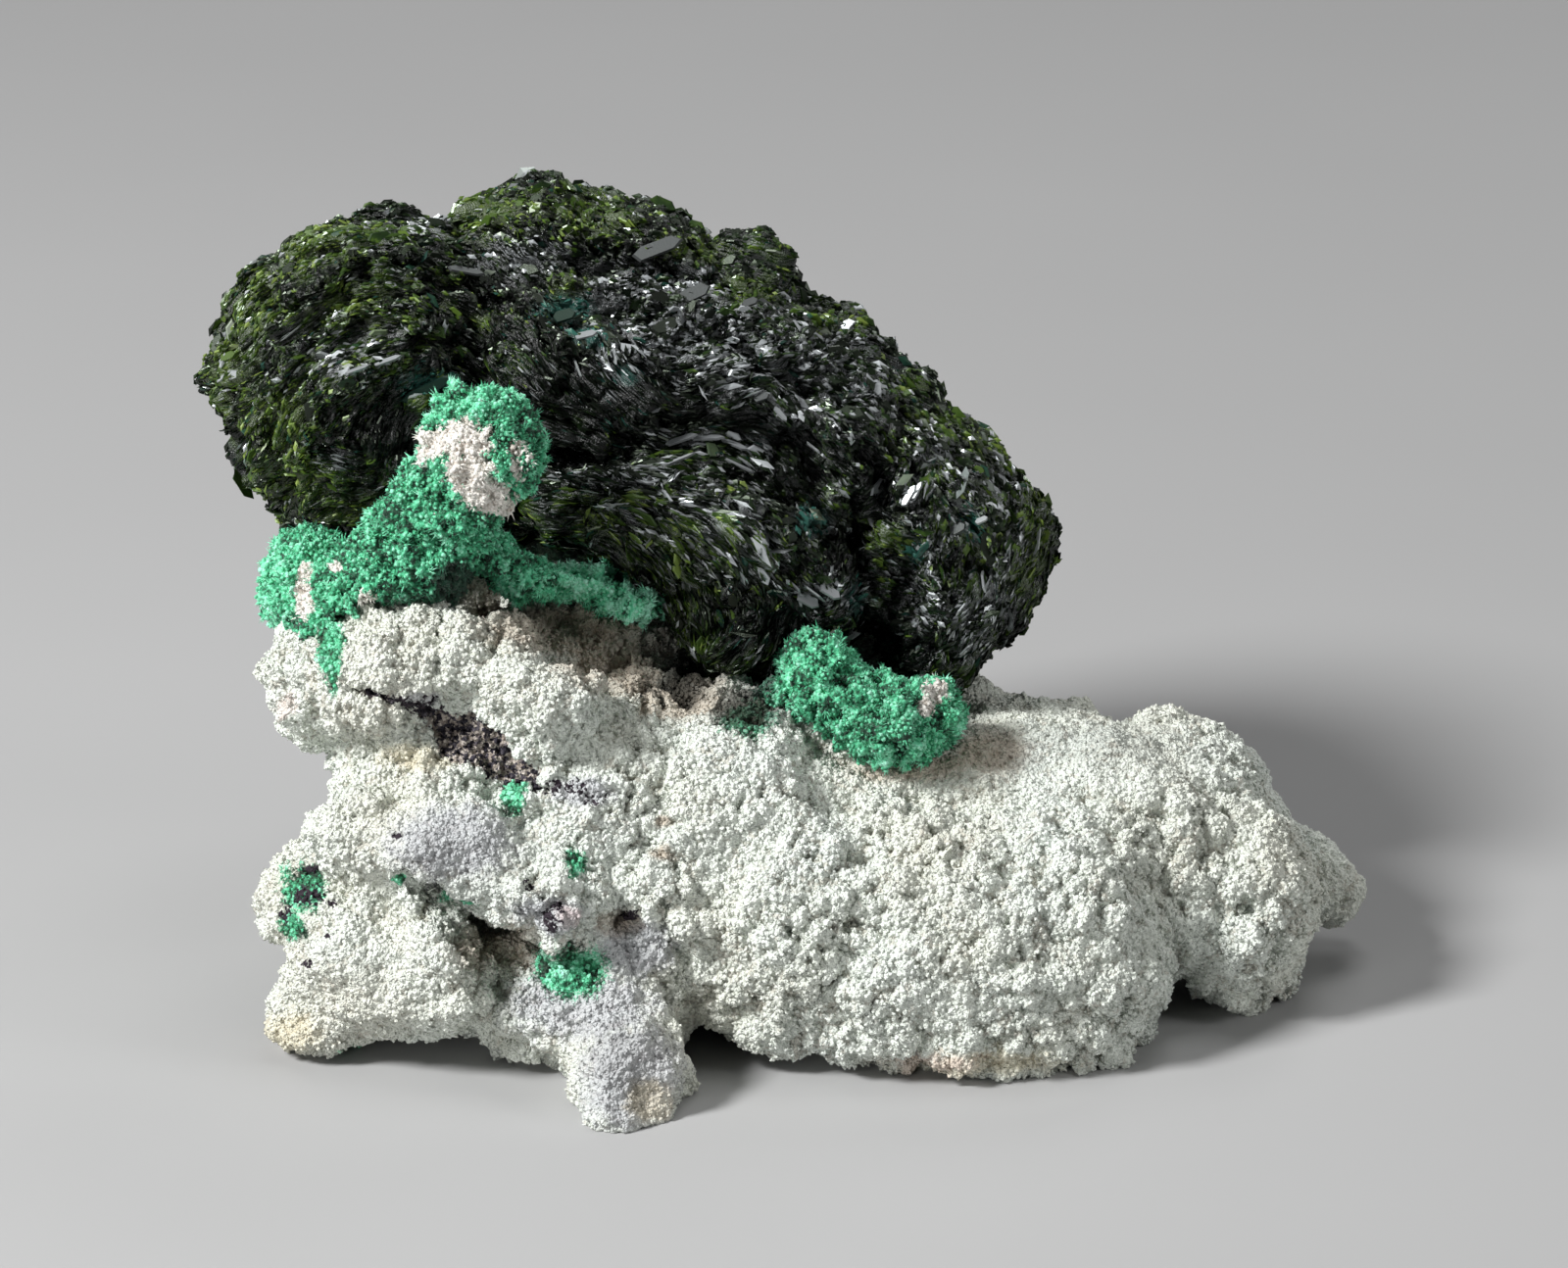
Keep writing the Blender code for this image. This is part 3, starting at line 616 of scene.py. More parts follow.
def finishPiece(obj, finish, node, smooth=True):
    obj.data.materials.clear()
    obj.data.materials.append(finish)
    obj.data.polygons.foreach_set("use_smooth", [smooth] * len(obj.data.polygons))
    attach(obj, "root")
    if node:
        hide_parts(node)
    obj.data.calc_loop_triangles()
    print(obj.name, len(obj.data.loop_triangles), "triangles")


# Small shapes that stand on a skin: first points, never nearer to each other than the spacing
def scatter(skin, wires, most, share, **more):
    sockets = {"Mesh": skin, "Distance Min": wires["spacing"] * mm, "Density Max": most,
               "Density Factor": share, "Seed": wires["seed"], **more}
    return skin.make("GeometryNodeDistributePointsOnFaces", {"distribute_method": "POISSON"}, sockets)


# A shape standing on each point, with the numbers it keeps, made plain and given its material
def standShapes(points, wires, rotation, size, **numbers):
    shape = points.make("GeometryNodeObjectInfo", {}, {"Object": wires["shape"]}, "Geometry")
    sockets = {"Points": points, "Instance": shape, "Rotation": rotation, "Scale": size}
    standing = points.make("GeometryNodeInstanceOnPoints", {}, sockets)
    for name, value in numbers.items():
        standing = standing.keep(name, value, "INSTANCE")
    plain = points.make("GeometryNodeRealizeInstances", {}, {"Geometry": standing})
    return points.make("GeometryNodeSetMaterial", {}, {"Geometry": plain, "Material": wires["finish"]})


def tuftTree():
    tree, wires = newTree("tufts", ("spacing", "size", "rise", "lean", "from"), True)
    skin = wires["Geometry"]
    share = skin.field("cover").rise(wires["from"], wires["from"] + 0.3)
    points = scatter(skin, wires, 9e7, share)
    rotation = points.other("Rotation").turned(
        skin.chance(-1.0, 1.0, 21) * wires["lean"], skin.chance(-1.0, 1.0, 22) * wires["lean"],
        skin.chance(0.0, 6.28, 23))
    grow = skin.chance(0.55, 1.3, 24) * wires["size"] * (1 - skin.field("even") * 0.35) * mm
    size = skin.vector(grow, grow * skin.chance(0.7, 1.2, 25), grow * wires["rise"])
    # how high each shape stands, which the finishes turn into painted shade
    height = skin.field("relief") * 0.55 + skin.chance(0.2, 0.7, 26)
    closeTree(tree, standShapes(points, wires, rotation, size, relief=height))
    return tree


# A bunch of three-sided spikes that spread from one foot
def spikeBunch(count, spread, thick):
    chance = np.random.default_rng(5)
    shape = bmesh.new()
    for i in range(count):
        around = 2 * math.pi * (i + chance.uniform(-0.3, 0.3)) / count
        out = spread * (0.25 if i == 0 else chance.uniform(0.6, 1.0))
        tip = Vector((math.cos(around) * out, math.sin(around) * out, chance.uniform(0.75, 1.0)))
        foot = Vector((tip.x * 0.2, tip.y * 0.2, -0.25))
        ring = []
        for j in range(3):
            angle = around + 2 * math.pi * j / 3
            ring.append(shape.verts.new(foot + Vector((math.cos(angle), math.sin(angle), 0.0)) * thick))
        top = shape.verts.new(tip)
        shape.faces.new(ring[::-1])
        for j in range(3):
            shape.faces.new((ring[j], ring[(j + 1) % 3], top))
    return closeShape(shape, "spikeBunch")


# Eight faces: a ring of four points, and a peak on either side of it
def eightFaces(name, ring, peaks):
    shape = bmesh.new()
    ring = [shape.verts.new(place) for place in ring]
    for place in peaks:
        peak = shape.verts.new(place)
        for i in range(4):
            shape.faces.new((ring[i], ring[(i + 1) % 4], peak))
    return closeShape(shape, name)


def grainShape():
    chance = np.random.default_rng(8)
    ring = [(1, 0, 0), (0, 1, 0), (-1, 0, 0), (0, -1, 0)]
    ring = [Vector(place) * chance.uniform(0.42, 0.58) for place in ring]
    peaks = [(chance.uniform(-0.1, 0.1), chance.uniform(-0.1, 0.1), side) for side in (0.5, -0.5)]
    return eightFaces("grainShape", ring, peaks)


def closeShape(shape, name):
    bmesh.ops.recalc_face_normals(shape, faces=shape.faces)
    return shapeObject(name, shape)


# A piece of small shapes on another piece's skin
def dress(skin, name, tree, shape, finish, slot, smooth, **values):
    obj = newObject(name, skin.data.copy())
    runTree(obj, tree, shape=shape, finish=finish, **values)
    finishPiece(obj, finish, None, smooth)


# Malachite

malachite = {
    "voxel": 0.17, "rounding": 14, "swell": -0.30,
    # size and depth in mm
    "crag": (2.4, 1.0), "cluster": (1.2, 0.50), "knob": (0.62, 0.32), "grain": (0.32, 0.16),
    "pit": (1.0, 1.3), "shake": 0.5,
    "backShare": 0.35,
    "tufts": {"spacing": 0.60, "size": 0.44, "rise": 0.9, "lean": 0.6, "from": -0.2, "seed": 3},
    "beads": {"spacing": 0.27, "size": 0.34, "rise": 1.0, "lean": 1.3, "from": -0.2, "seed": 3},
    # places moved up, or down below 0: across, up, half width, half height, distance in mm
    "shifts": [(-13, 36.3, 4.5, 1.4, -1.1), (-8.4, 31, 1.8, 1.3, 0.8)],
    # painted light: paler where the band's tip, the left lobe and the ball should be lit
    "pale": [
        (-9.6, 32.3, 1.6, 1.4, 1.4), (-12.4, 34.4, 1.6, 1.2, 1.1), (-30.6, 34.5, 1.6, 3, 0.5),
        (-19.6, 44.2, 2.4, 1.2, 0.35)],
    # painted shade: the cavity and gaps under the post, beside the mound, and weakly on the mound
    "shade": [
        (-20, 34, 1.1, 1.5, 1.2), (-22.2, 32.9, 1.8, 0.8, 0.7), (-1.6, 28, 1.6, 1.4, 0.8),
        (3.5, 25.5, 6, 3.5, 0.3)],
    # where white clay shows through: across, up, half width, half height
    "chalk": [
        (-19.2, 42.5, 1.9, 1.3), (-21.1, 42.3, 0.7, 0.9), (-18.8, 40.8, 1.5, 1.2), (-17.9, 39.4, 1.5, 1),
        (-16.6, 38.5, 0.9, 0.8), (-16, 41.5, 0.6, 1.5, 0.7), (-29.1, 33.9, 0.5, 1.7), (-29, 32.4, 0.6, 0.8),
        (-27.2, 35, 0.35, 0.35), (-25.2, 32.7, 0.6, 1.1), (-24.2, 32.3, 1.3, 0.6), (9.2, 27.3, 0.9, 0.6),
        (8.6, 26.4, 0.6, 0.6)],
}


def makeCrust(relief, tufts, shapes, finish, node, name):
    obj = skinOf(node, name, malachite["voxel"], malachite["rounding"], malachite["swell"])
    places = readPoints(obj.data)
    flat = toFace(places)
    for *spot, distance in malachite["shifts"]:
        places += faceUp * spotMask(flat, [spot], 0.6)[:, None] * distance * mm
    writePoints(obj.data, places)
    flat = toFace(places)
    writeNumber(obj.data, "even", np.zeros(len(flat)))
    for label in ("chalk", "pale", "shade"):
        writeNumber(obj.data, label, spotMask(flat, malachite[label]))
    mesh = runTree(obj, relief, **reliefValues(malachite))
    thinOut(obj, (0.2 + readNormals(mesh) @ faceDeep).clip(0, 1), malachite["backShare"])
    facing = 0.75 - readNormals(obj.data) @ faceDeep
    writeNumber(obj.data, "cover", facing.clip(0.25, 1))
    finishPiece(obj, finish, node)
    for kind, shape in shapes.items():
        dress(obj, name + kind, tufts, shape, finish, "malachite", kind == "Beads", **malachite[kind.lower()])


# Volborthite: a bed combed into strands, and leaves that stand on it along them

rosette = {
    "voxel": 0.29, "rounding": 8, "inset": -0.40,
    # sizes and depths in mm, and how many terraces there are in the height of a ridge
    "comb": {"ridgeSize": 1.9, "ridgeDepth": 3.0, "combSize": 0.6, "combDepth": 0.6,
             "terraces": 2.4, "terraceDepth": 1.5},
    # which way the leaves lie, in degrees up from across: across, up, angle
    "lie": [
        (-34, 50, 50), (-35, 46.5, 20), (-30, 47, 40), (-29, 50, 30), (-28, 52.5, 20), (-26, 55.5, 8),
        (-24, 53, 2), (-24, 50.5, 6), (-26, 49, 18), (-27, 47, 26), (-25, 47.5, 20), (-22, 55.5, -14),
        (-21, 52, -25), (-20.5, 50, -32), (-18, 48.5, -42), (-22.2, 46.2, 26), (-24.4, 44.5, 55),
        (-24.5, 43.4, 85), (-28, 44, 50), (-31, 43, 62), (-30, 40, 40), (-27.5, 41.7, -8), (-17, 54.5, -35),
        (-16, 51.5, -45), (-14.5, 49, -47), (-13, 47, -46), (-11, 44.5, -42), (-9, 46.5, -40),
        (-7.5, 43.6, -28), (-13, 50.8, -5), (-10.4, 48, -62), (-13, 43, -20), (-20, 57, 14), (-16, 58.5, 0),
        (-13, 56.5, -34), (-11, 54, -24), (-9, 52, 15), (-8, 50.5, 12), (-6, 52.5, -28), (-6, 49, 10),
        (-5, 47, 20), (-2.5, 48, 15), (-2, 46.3, 15), (-4, 45, 18), (0, 45, -48), (1, 48, 22),
        (2, 50.5, -10), (-1.5, 51.5, 5), (-2, 54, -12), (3, 49, 14), (4.5, 47, -20), (5.2, 44.8, -22),
        (-6, 42.7, 8), (-3.5, 42.5, -10), (-1.5, 41, -44), (-5, 41.5, 4), (-4, 40.5, -2), (-9, 40, -5),
        (-12, 39.5, -8), (-9, 39, -20), (-6, 39, -12), (-3, 39, -26), (-0.5, 38.5, -40), (1, 37, -50),
        (-7, 37.5, -35), (-5.5, 36.2, -42), (-10, 38, -26), (-12.5, 37.6, 8), (-9.5, 36, -46),
        (-8, 34.5, -56), (-6.6, 33, -70), (-5.5, 31.8, -82), (-3, 34, -50), (0.5, 34.5, -50), (-2, 31, 60),
        (0, 31, 80), (-3.5, 29.2, 42), (2.2, 33.4, -30), (4, 35.2, 62), (3.2, 33, 40), (3, 43, -46),
        (2, 41.5, -36), (5, 42.5, -46), (7, 43.5, -40), (8, 46, -30), (10, 44, -40), (12, 42, -32),
        (8.2, 40, 65), (6.5, 40, 48), (7, 37.5, -30), (6, 36, -20), (9.6, 36.5, 80), (11, 40, -40),
        (11.5, 38, -42), (13, 38.5, -60), (14.5, 38, 70), (13.5, 36, 80), (13, 34, 75), (11.5, 32, 32),
        (10.5, 30.5, 60), (12, 29.5, 45), (7, 33, -10), (8.8, 32, -35), (7, 30.5, 30), (15.8, 37, 60)],
    # where the folds of the mass run another way than its leaves: across, up, angle
    "folds": [
        (-13, 54.5, -35), (-9, 52.5, -35), (-5, 50, -38), (-1, 47.5, -42), (2, 45.5, -45), (-8, 48.5, -40),
        (-4.5, 46, -42), (-2, 51.5, -30), (2, 49, -38), (-6, 53, -25)],
    # yellow-green places with some painted light, silvery places with a painted sheen, blue-green places, and
    # painted shade: across, up, half width, half height
    "gold": [
        (-18.5, 57.2, 3.6, 1.8), (-12.5, 57, 3.4, 1.8), (-32.6, 51.6, 1.6, 2.2), (-29, 55.4, 3.2, 1.8),
        (-5.8, 36.2, 1.8, 0.9), (-11.6, 38, 2, 0.7), (-6.3, 33, 0.9, 2.4), (13, 43, 2.6, 1.8),
        (10.6, 44.4, 2.2, 1.2), (15.6, 38.6, 1.2, 2.6), (6.4, 37.2, 1.6, 1.3), (-18.6, 50.4, 0.9, 0.7),
        (-13.6, 52.4, 1.4, 1), (3.6, 50.6, 2.2, 1.2), (-2, 52.4, 2, 1), (-30.2, 40.6, 2.2, 1.8),
        (-34.6, 47, 1.4, 3), (-31, 44, 2, 2.4), (-26.5, 51, 3, 2), (8.2, 46.4, 1.6, 1),
        (-4, 39.4, 1.4, 0.5), (-1, 35.8, 1.4, 0.7), (-26.6, 38.4, 2.2, 0.9), (7.4, 42.6, 1.4, 0.8),
        (-6, 55, 2.4, 1), (-8.6, 39.2, 3.4, 0.5), (-7.6, 36.8, 2.6, 0.7), (14.8, 35, 1.4, 2),
        # painted light: broad and weak, on the fan, the right arch and the dome
        (-6, 35.6, 7.5, 5, 0.5), (12, 37.6, 5, 7, 0.45), (-26.5, 49, 8, 6.5, 0.4)],
    # painted sheen: where the leaves should catch the light; the last three spots are broad and weak
    "silver": [
        (-9, 52.2, 2.8, 1.8), (-6, 49.2, 4.2, 2.6), (-2.2, 47.4, 4, 2), (2.2, 48.2, 2.4, 1.6),
        (0.2, 45, 1.4, 1.4), (-6, 42.9, 2, 0.8), (-2, 42.2, 1.4, 0.8), (12.8, 33.4, 1.8, 2.4),
        (11.2, 30.8, 1.8, 1.8), (8.2, 40, 1.3, 1.4), (2.6, 33.6, 2, 1.2), (14.2, 36, 1.2, 2),
        (-26.6, 48.4, 3.2, 1.8, 0.6), (-15.6, 54.4, 2.4, 1.4), (-27.6, 41.6, 1, 0.6), (9.7, 36.8, 0.7, 1.8),
        (-5.6, 52.8, 1.4, 1), (4.4, 45.4, 2, 1.4), (-22.4, 56.4, 1.6, 0.6), (9, 32.4, 1.6, 1),
        (-10.6, 47.6, 1, 1.8), (-4.2, 36.6, 1.6, 1.2), (-9, 40.6, 3.6, 0.8), (-4, 38.8, 3.6, 0.9),
        (-1.6, 36.4, 2.2, 2), (13.6, 39.6, 1.8, 1.6), (9.6, 42.6, 2.2, 1.2), (-5.6, 36.6, 7.5, 5, 0.45),
        (10.5, 36.6, 5.6, 8, 0.5), (2, 48, 6, 4, 0.6)],
    "teal": [
        (-13.6, 51, 1.5, 0.7), (-11.8, 49.2, 1, 0.6), (-21.8, 46.4, 1.6, 0.6), (1.8, 38, 0.8, 0.9),
        (8.2, 36, 0.5, 0.6), (-9.6, 46.8, 0.6, 0.5), (4.4, 33, 0.5, 1), (11.6, 37.6, 0.7, 0.8)],
    # painted shade: the crevices between folds, and broad weak darkening on the crest, the middle and the
    # silvery area
    "dark": [
        (-12.6, 42.2, 3.6, 1.6), (-16.5, 45, 2, 2), (5.6, 40.8, 1, 1.8), (-1.2, 32.4, 2.4, 1.8),
        (-25.4, 43.4, 2.4, 1.6), (4.4, 36.6, 1.4, 2), (6.6, 30.2, 2.2, 1.6), (-8.4, 43.9, 2.4, 0.9),
        (7, 38.6, 1.4, 1), (-20, 47.6, 2.2, 1.4), (-14, 54, 8, 5, 0.55), (-10, 47, 7, 4.5, 0.5),
        (0, 45, 7, 5, 0.25)],
    # cracks between the folds: lines of across, up, half width; and how deep they are in mm
    "cracks": [
        [(-8.6, 43.4, 0.25), (-6.4, 44.3, 0.3), (-3.6, 44.3, 0.3), (-1, 43.2, 0.3), (1.4, 41.6, 0.3),
         (2.6, 40.4, 0.2)],
        [(-14.5, 41.8, 0.5), (-11, 41.6, 0.8), (-8.4, 42.6, 0.5)],
        [(-16.5, 50.2, 0.2), (-13.6, 47.8, 0.35), (-11.2, 45.8, 0.4), (-8.8, 44.6, 0.3)],
        [(-12.5, 55, 0.25), (-9.8, 53.9, 0.35), (-6.4, 53.2, 0.3), (-4.4, 53.2, 0.2)],
        [(-5.4, 51.2, 0.2), (-3.2, 49, 0.25), (-0.6, 46.8, 0.3), (1.6, 46, 0.3)],
        [(4.3, 39.4, 0.35), (4.5, 36.6, 0.4), (4.4, 33.6, 0.5), (5.4, 31.4, 0.6), (6.6, 29.8, 0.8)],
        [(5, 42, 0.25), (6.2, 40.2, 0.6), (7, 38.6, 0.3)],
        [(7.9, 35, 0.3), (7.6, 32.6, 0.5)],
        [(-2, 40.2, 0.2), (0.4, 38.6, 0.3), (2.4, 37, 0.3)]],
    "crackDepth": 1.0,
    "frontEnd": 24.0,  # mm deep, where the cracks end
    # mm: the back is deeper than this, the dome further left, the crest higher, and the arch further right
    "cuts": (28.0, -19.0, 48.0, 0.0),
}

# The leaves of each region: spacing, length, width and thickness in mm, how far they stand up and how much
# that changes from place to place in radians, how loosely they lie, how deep the gaps between rows are in mm
leaves = {
    "Dome": {"spacing": 0.160, "length": 0.56, "width": 0.28, "thick": 0.11,
             "stand": 1.25, "sway": 1.3, "loose": 0.08, "rows": 0.65},
    "Crest": {"spacing": 0.172, "length": 0.45, "width": 0.30, "thick": 0.12,
              "stand": 1.0, "sway": 2.2, "loose": 0.24, "rows": 0.35},
    "Arch": {"spacing": 0.178, "length": 0.54, "width": 0.32, "thick": 0.11,
             "stand": 1.0, "sway": 2.2, "loose": 0.15, "rows": 0.50},
    "Fan": {"spacing": 0.156, "length": 0.78, "width": 0.25, "thick": 0.10,
            "stand": 1.2, "sway": 1.4, "loose": 0.05, "rows": 0.70},
    "Back": {"spacing": 0.40, "length": 1.20, "width": 0.80, "thick": 0.24,
             "stand": 0.95, "sway": 2.2, "loose": 0.24, "rows": 0.10},
    "Plates": {"spacing": 1.2, "length": 1.0, "width": 0.60, "thick": 0.10,
               "stand": 0.95, "sway": 2.0, "loose": 0.20, "rows": 0.10},
}
# Broad plates that stand alone, with how light they are, the bright set a painted glint: both ends (across,
# up), width in mm, tilt in radians
lonePlates = {
    "volborthiteDimPlates": (0.14, {
        "silver": [
            (-9.4, 54.3, -6.3, 55.6, 1.1, 0.45), (-6.6, 51.6, -4.6, 52.6, 1, 0.3),
            (-1.9, 45.3, -0.9, 45.7, 0.6, 0.4), (-2.6, 51.3, -1.6, 51.7, 0.6, 0.5),
            (10.3, 37.2, 11.2, 37.8, 0.7, 0.4), (-20.8, 53.6, -18.4, 53.2, 0.5, 0.7)],
        "teal": [
            (-23.5, 45.1, -20.2, 46.8, 0.7, -0.3), (-14.2, 50.3, -12.8, 50.8, 0.9, 0.5)]}),
    # painted glint: light plates where the leaves should catch the light
    "volborthiteBrightPlates": (0.55, {
        "silver": [
            (-7.3, 42.6, -5.3, 43.3, 0.45, 0.7), (-5.8, 43, -3.6, 43.1, 0.4, 0.8),
            (-3.9, 43, -2.2, 42.3, 0.35, 0.6), (-7.6, 41.2, -5.4, 42.1, 0.2, 0.7),
            (-4, 41.9, -1.6, 40.8, 0.2, 0.6), (-26.8, 46.8, -25.2, 47.4, 0.3, 0.7),
            (-25.2, 47.3, -23.3, 48, 0.35, 0.6), (-12.9, 49.1, -11.4, 49.5, 0.5, 0.5),
            (-0.6, 44.9, 0.2, 44, 0.35, 0.5), (0.8, 33.4, 2.2, 32.7, 0.8, 0.4),
            (2.2, 33.9, 3.5, 33.2, 0.7, 0.5), (7.3, 38.8, 8.1, 40.2, 0.45, 0.5),
            (7.9, 39.2, 8.5, 40.4, 0.35, 0.6), (11.8, 37.8, 12.6, 38.2, 0.4, 0.5)]}),
}


# Which way lines run at each place of a skin, from samples on the broad face
def runDirection(flat, normals, samples):
    samples = np.array(samples, float)
    twice = np.radians(samples[:, 2] * 2)
    apart = ((flat[:, None, :2] - samples[None, :, :2]) ** 2).sum(2)
    weight = 1 / (apart + 0.6) ** 2
    angle = np.arctan2(weight @ np.sin(twice), weight @ np.cos(twice)) / 2
    way = np.cos(angle)[:, None] * faceAcross + np.sin(angle)[:, None] * faceUp
    way = way - (way * normals).sum(1)[:, None] * normals
    steep = np.linalg.norm(way, axis=1)
    spare = faceDeep - (normals @ faceDeep)[:, None] * normals
    way = way + spare * np.clip(0.5 - steep, 0, 1)[:, None]
    return way / np.linalg.norm(way, axis=1)[:, None]


def combTree():
    tree, wires = newTree("combedBed", rosette["comb"])
    geometry = wires["Geometry"]
    place = geometry.make("GeometryNodeInputPosition") * (1 / mm)
    fold, strand = (geometry.field(label, "FLOAT_VECTOR") for label in ("fold", "strand"))
    offsets = [(i - 4) * 0.55 for i in range(9)]
    ridge = (place.drawn(fold, offsets, wires["ridgeSize"]) - 0.5) * 2.4
    comb = (place.drawn(strand, offsets, wires["combSize"]) - 0.5) * 2.6
    normal = geometry.make("GeometryNodeInputNormal")
    # a slow rise and a steep drop, again and again across the folds
    saw = (ridge * wires["terraces"] + place.noise(6.0) * 2).again(1.0)
    terrace = saw * saw.rise(1.0, 0.8) - 0.4
    push = (ridge * wires["ridgeDepth"] + comb * wires["combDepth"] + terrace * wires["terraceDepth"]) * mm
    closeTree(tree, geometry.push(normal * push).keep("relief", ridge + comb * 0.4 + terrace * 0.9 + 0.5))
    return tree


def crackMask(flat):
    front = flat[:, 2] < rosette["frontEnd"]
    return np.max([lineMask(flat, line, 0.35) for line in rosette["cracks"]], axis=0) * front


def makeBedPiece(finish):
    sizes = [rosette[label] for label in ("voxel", "rounding", "inset")]
    obj = skinOf("volborthite_rosette", "volborthiteBed", *sizes)
    mesh = obj.data
    places, normals = readPoints(mesh), readNormals(mesh)
    flat = toFace(places)
    writePoints(mesh, places - normals * (crackMask(flat) * rosette["crackDepth"] * mm)[:, None])
    foldPlaces = np.array(rosette["folds"], float)
    kept = [sample for sample in rosette["lie"] if np.hypot(*(foldPlaces[:, :2] - sample[:2]).T).min() > 2.2]
    writeVector(mesh, "strand", runDirection(flat, normals, rosette["lie"]))
    writeVector(mesh, "fold", runDirection(flat, normals, kept + rosette["folds"]))
    mesh = runTree(obj, combTree(), **rosette["comb"])
    flat, normals = toFace(readPoints(mesh)), readNormals(mesh)
    for label in ("strand", "fold"):
        mesh.attributes.remove(mesh.attributes[label])
    writeVector(mesh, "strand", runDirection(flat, normals, rosette["lie"]))
    for label in ("gold", "silver", "teal"):
        writeNumber(mesh, label, spotMask(flat, rosette[label], 0.6))
    # painted shade in the dark spots and along the cracks
    writeNumber(mesh, "dark", np.maximum(spotMask(flat, rosette["dark"], 0.6), crackMask(flat)))
    across, up, deep = flat.T
    behind, dome, crest, arch = rosette["cuts"]
    region = np.where(across < dome, 0, np.where(up > crest, 1, np.where(across > arch, 2, 3)))
    writeNumber(mesh, "region", np.where(deep > behind, 4, region))
    # leaves are fewer on what faces back or down
    seen = 0.75 - 0.6 * (normals @ faceDeep) + 0.3 * normals[:, 2]
    writeNumber(mesh, "seen", np.clip(seen, 0.35, 1))
    finishPiece(obj, finish, "volborthite_rosette")
    return obj


# One small leaf: a lozenge, sharp all round, one unit long, wide and thick
def bladeShape():
    ring = ((0.5, 0.08, 0), (-0.1, 0.5, 0), (-0.5, -0.05, 0), (0.12, -0.5, 0))
    return eightFaces("bladeShape", ring, [(0.03, 0.05, side) for side in (0.5, -0.5)])


# A plate between two outlines
def addPlate(shape, low, high):
    low, high = ([shape.verts.new(place) for place in ring] for ring in (low, high))
    shape.faces.new(low[::-1])
    shape.faces.new(high)
    for i in range(len(low)):
        j = (i + 1) % len(low)
        shape.faces.new((low[i], low[j], high[j], high[i]))


# One broad leaf: a plate that lies flat, one unit long, wide and thick, with a narrower top
def leafShape(outline):
    shape = bmesh.new()
    addPlate(shape, [(x, y, -0.5) for x, y in outline], [(x * 0.86, y * 0.86, 0.5) for x, y in outline])
    return closeShape(shape, "leafShape")


def leafTree():
    numbers = ("region", "reach", "spacing", "length", "width", "thick", "stand", "sway", "loose", "rows")
    tree, wires = newTree("leaves", numbers, True)
    bed = wires["Geometry"]
    chosen = bed.make("FunctionNodeCompare", {"data_type": "FLOAT", "operation": "EQUAL"},
                      {0: bed.field("region"), 1: wires["region"], "Epsilon": wires["reach"]})
    points = scatter(bed, wires, 6e7, bed.field("seen"), Selection=chosen)
    place = bed.make("GeometryNodeInputPosition") * (1 / mm)
    silver, gold = bed.field("silver"), bed.field("gold")
    strand = bed.field("strand", "FLOAT_VECTOR")
    aligned = bed.make("FunctionNodeAlignRotationToVector", {"axis": "X", "pivot_axis": "Z"},
                       {"Rotation": points.other("Rotation"), "Vector": strand})
    # neighbours stand alike: how far they roll over changes slowly, with a little chance for each
    loose = wires["loose"] * (1 + gold * 1.5)
    roll = wires["stand"] + (place.noise(2.2) - 0.5) * wires["sway"] - silver * 0.35
    rotation = aligned.turned(
        roll + bed.chance(-1.3, 1.3, 11) * loose, bed.chance(-1.0, 1.0, 12) * loose,
        bed.chance(-1.0, 1.0, 13) * loose)
    # most leaves are small, a few are two or three times as large
    large = bed.chance(0.0, 1.0, 14) ** 14.0
    grow = (bed.chance(0.6, 1.25, 18) + large * 1.4) * (1 + silver * 0.25)
    size = bed.vector(wires["length"] * grow * mm, wires["width"] * (0.35 + grow * 0.65) * mm,
                      wires["thick"] * bed.chance(0.7, 1.3, 16) * mm)
    # they stand in rows: the higher a row, the paler, as painted light
    row = (place.drawn(strand, (-0.8, -0.5, -0.2, 0.2, 0.5, 0.8), 0.32, 1.0) - 0.5) * 4.0
    height = (bed.chance(-0.10, 0.02, 19) + row * wires["rows"]) * mm
    placed = points.push(points.other("Normal") * height)
    tone = bed.chance(0.0, 1.0, 17)
    closeTree(tree, standShapes(placed, wires, rotation, size, tone=tone, row=row))
    return tree


def makeLeaves(bed, finish):
    tree = leafTree()
    blade = bladeShape()
    plate = leafShape([(0.5, 0.05), (0.2, 0.5), (-0.36, 0.36), (-0.5, -0.16), (0.1, -0.5)])
    for i, (region, sizes) in enumerate(leaves.items()):
        name, middle, reach, shape = "volborthite" + region, float(i), 0.4, blade
        if region == "Plates":
            middle, reach, shape = 1.5, 1.6, plate  # everywhere but the back
        dress(bed, name, tree, shape, finish, "volborthite", False,
              region=middle, reach=reach, seed=i + 1, **sizes)
    bpy.data.objects.remove(blade)
    bpy.data.objects.remove(plate)


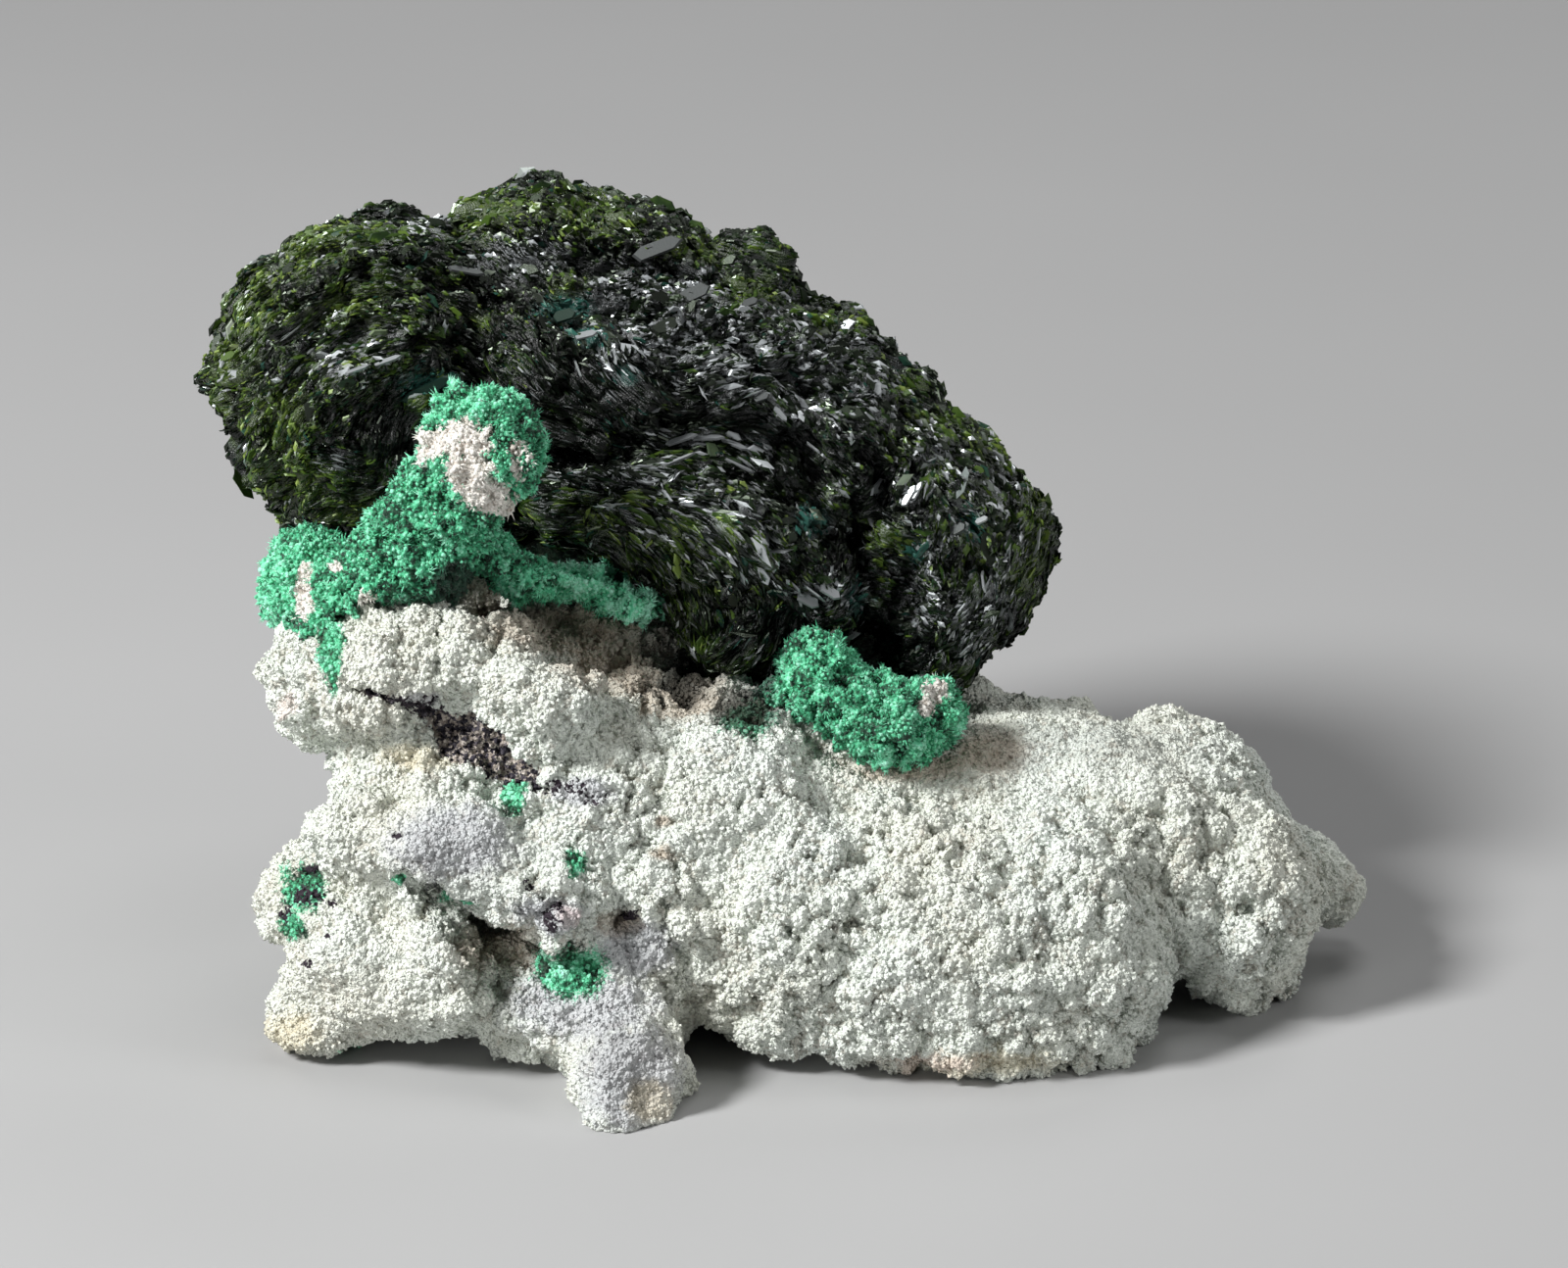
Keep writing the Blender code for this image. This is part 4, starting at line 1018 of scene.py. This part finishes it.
# The broad plates, each set on the bed's front where its middle falls
def makeLonePlates(bed, name, plates, finish):
    flat = toFace(readPoints(bed.data))
    outline = ((-0.5, -0.2), (-0.3, -0.5), (0.34, -0.42), (0.5, 0.1), (0.3, 0.46), (-0.4, 0.4))
    shape = bmesh.new()
    tones = []
    for tone, (a1, u1, a2, u2, width, tilt) in [(tone, plate) for tone in plates for plate in plates[tone]]:
        across, up = (a1 + a2) / 2, (u1 + u2) / 2
        near = np.hypot(flat[:, 0] - across, flat[:, 1] - up) < 0.5
        front = flat[near, 2].min() if near.any() else 14.0
        middle = np.array(onFace(across, up, front + 0.05))
        along = (faceAcross * (a2 - a1) + faceUp * (u2 - u1)) * mm
        side = np.cross(along / np.linalg.norm(along), -faceDeep)
        out = -faceDeep * math.cos(tilt) - side * math.sin(tilt)
        side = (side * math.cos(tilt) - faceDeep * math.sin(tilt)) * width * mm
        rings = [[middle + (along * x + side * y) * shrink + out * level * mm for x, y in outline]
                 for level, shrink in ((-0.08, 1.0), (0.08, 0.9))]
        addPlate(shape, *rings)
        tones += [tone] * (2 * len(outline))
    obj = closeShape(shape, name)
    for label in ("silver", "teal"):
        writeNumber(obj.data, label, [3.0 if tone == label else 0.0 for tone in tones])
    for label in ("tone", "relief"):
        writeNumber(obj.data, label, [0.5] * len(tones))
    finishPiece(obj, finish, None, False)


# Studio: floor, lights and camera

studio = {
    "floor": (0.42, 0.42, 0.42), "world": (0.75, 0.78, 0.82), "worldStrength": 0.045,
    "lights": [  # name, where it stands (mm), size (mm), watts
        ("key", (-400, -215, 400), 150, 5.0),
        ("front", (-260, -440, 110), 200, 0.45),
        ("top", (60, 60, 560), 240, 0.5),
        ("side", (430, -160, 260), 200, 0.6),
        ("back", (160, 420, 420), 240, 0.5)],
    "target": (0, 0, 22),
    # camera, mm on the broad face: how far off, the width it sees, its height and the depth it looks at
    "distance": 450.0, "view": 96.0, "aim": 30.96, "depth": 12.0, "sensor": 36.0,
}


def makeStudio():
    floor = bpy.data.meshes.new("floor")
    floor.from_pydata([(-3, -3, 0), (3, -3, 0), (3, 3, 0), (-3, 3, 0)], [], [(0, 1, 2, 3)])
    made, shader, place = newMaterial("paleFloor", Roughness=0.8, **{"Specular IOR Level": 0.2})
    darker = tuple(value * 0.97 for value in studio["floor"])
    plug(shader, Base_Color=place.noise(60.0).ramp((0.3, darker), (0.7, studio["floor"])))
    floor.materials.append(made)
    newObject("floor", floor)
    world = bpy.data.worlds.new("studio")
    world.use_nodes = True
    world.node_tree.nodes["Background"].inputs["Color"].default_value = (*studio["world"], 1.0)
    world.node_tree.nodes["Background"].inputs["Strength"].default_value = studio["worldStrength"]
    bpy.context.scene.world = world
    for name, place, size, watts in studio["lights"]:
        light = bpy.data.lights.new(name, "AREA")
        light.shape = "DISK"
        light.size = size * mm
        light.energy = watts
        obj = newObject(name, light)
        obj.location = Vector(place) * mm
        aim = Vector(studio["target"]) * mm - obj.location
        obj.rotation_euler = aim.to_track_quat("-Z", "Y").to_euler()


def makeCamera():
    camera = newObject("camera", bpy.data.cameras.new("camera"))
    camera.data.sensor_width = studio["sensor"]
    camera.data.lens = studio["sensor"] * studio["distance"] / studio["view"]
    camera.data.clip_start = 10 * mm
    camera.location = onFace(0.0, studio["aim"], studio["depth"] - studio["distance"])
    camera.rotation_euler = (math.pi / 2 - lean, 0.0, 0.0)
    bpy.context.scene.camera = camera


makeCamera()
makeStudio()
print("camera, floor and lights")
reliefNodes = reliefTree()
tuftNodes = tuftTree()
grain = grainShape()
makeMatrix(reliefNodes, tuftNodes, grain, makeClay())
print("clay")
green = makeMalachite()
bunch = spikeBunch(5, 0.75, 0.16)
shapes = {"Tufts": bunch, "Beads": grain}
makeCrust(reliefNodes, tuftNodes, shapes, green, "malachite_crust", "malachiteCrust")
makeCrust(reliefNodes, tuftNodes, shapes, green, "malachite_mound", "malachiteMound")
for shape in shapes.values():
    bpy.data.objects.remove(shape)
print("malachite")
bed = makeBedPiece(makeBed())
makeLeaves(bed, makeLeaf("volborthiteBlade", 0.84))
for name, (dim, plates) in lonePlates.items():
    makeLonePlates(bed, name, plates, makeLeaf(name, dim))
print("volborthite")
bpy.context.scene.view_settings.view_transform = "Standard"
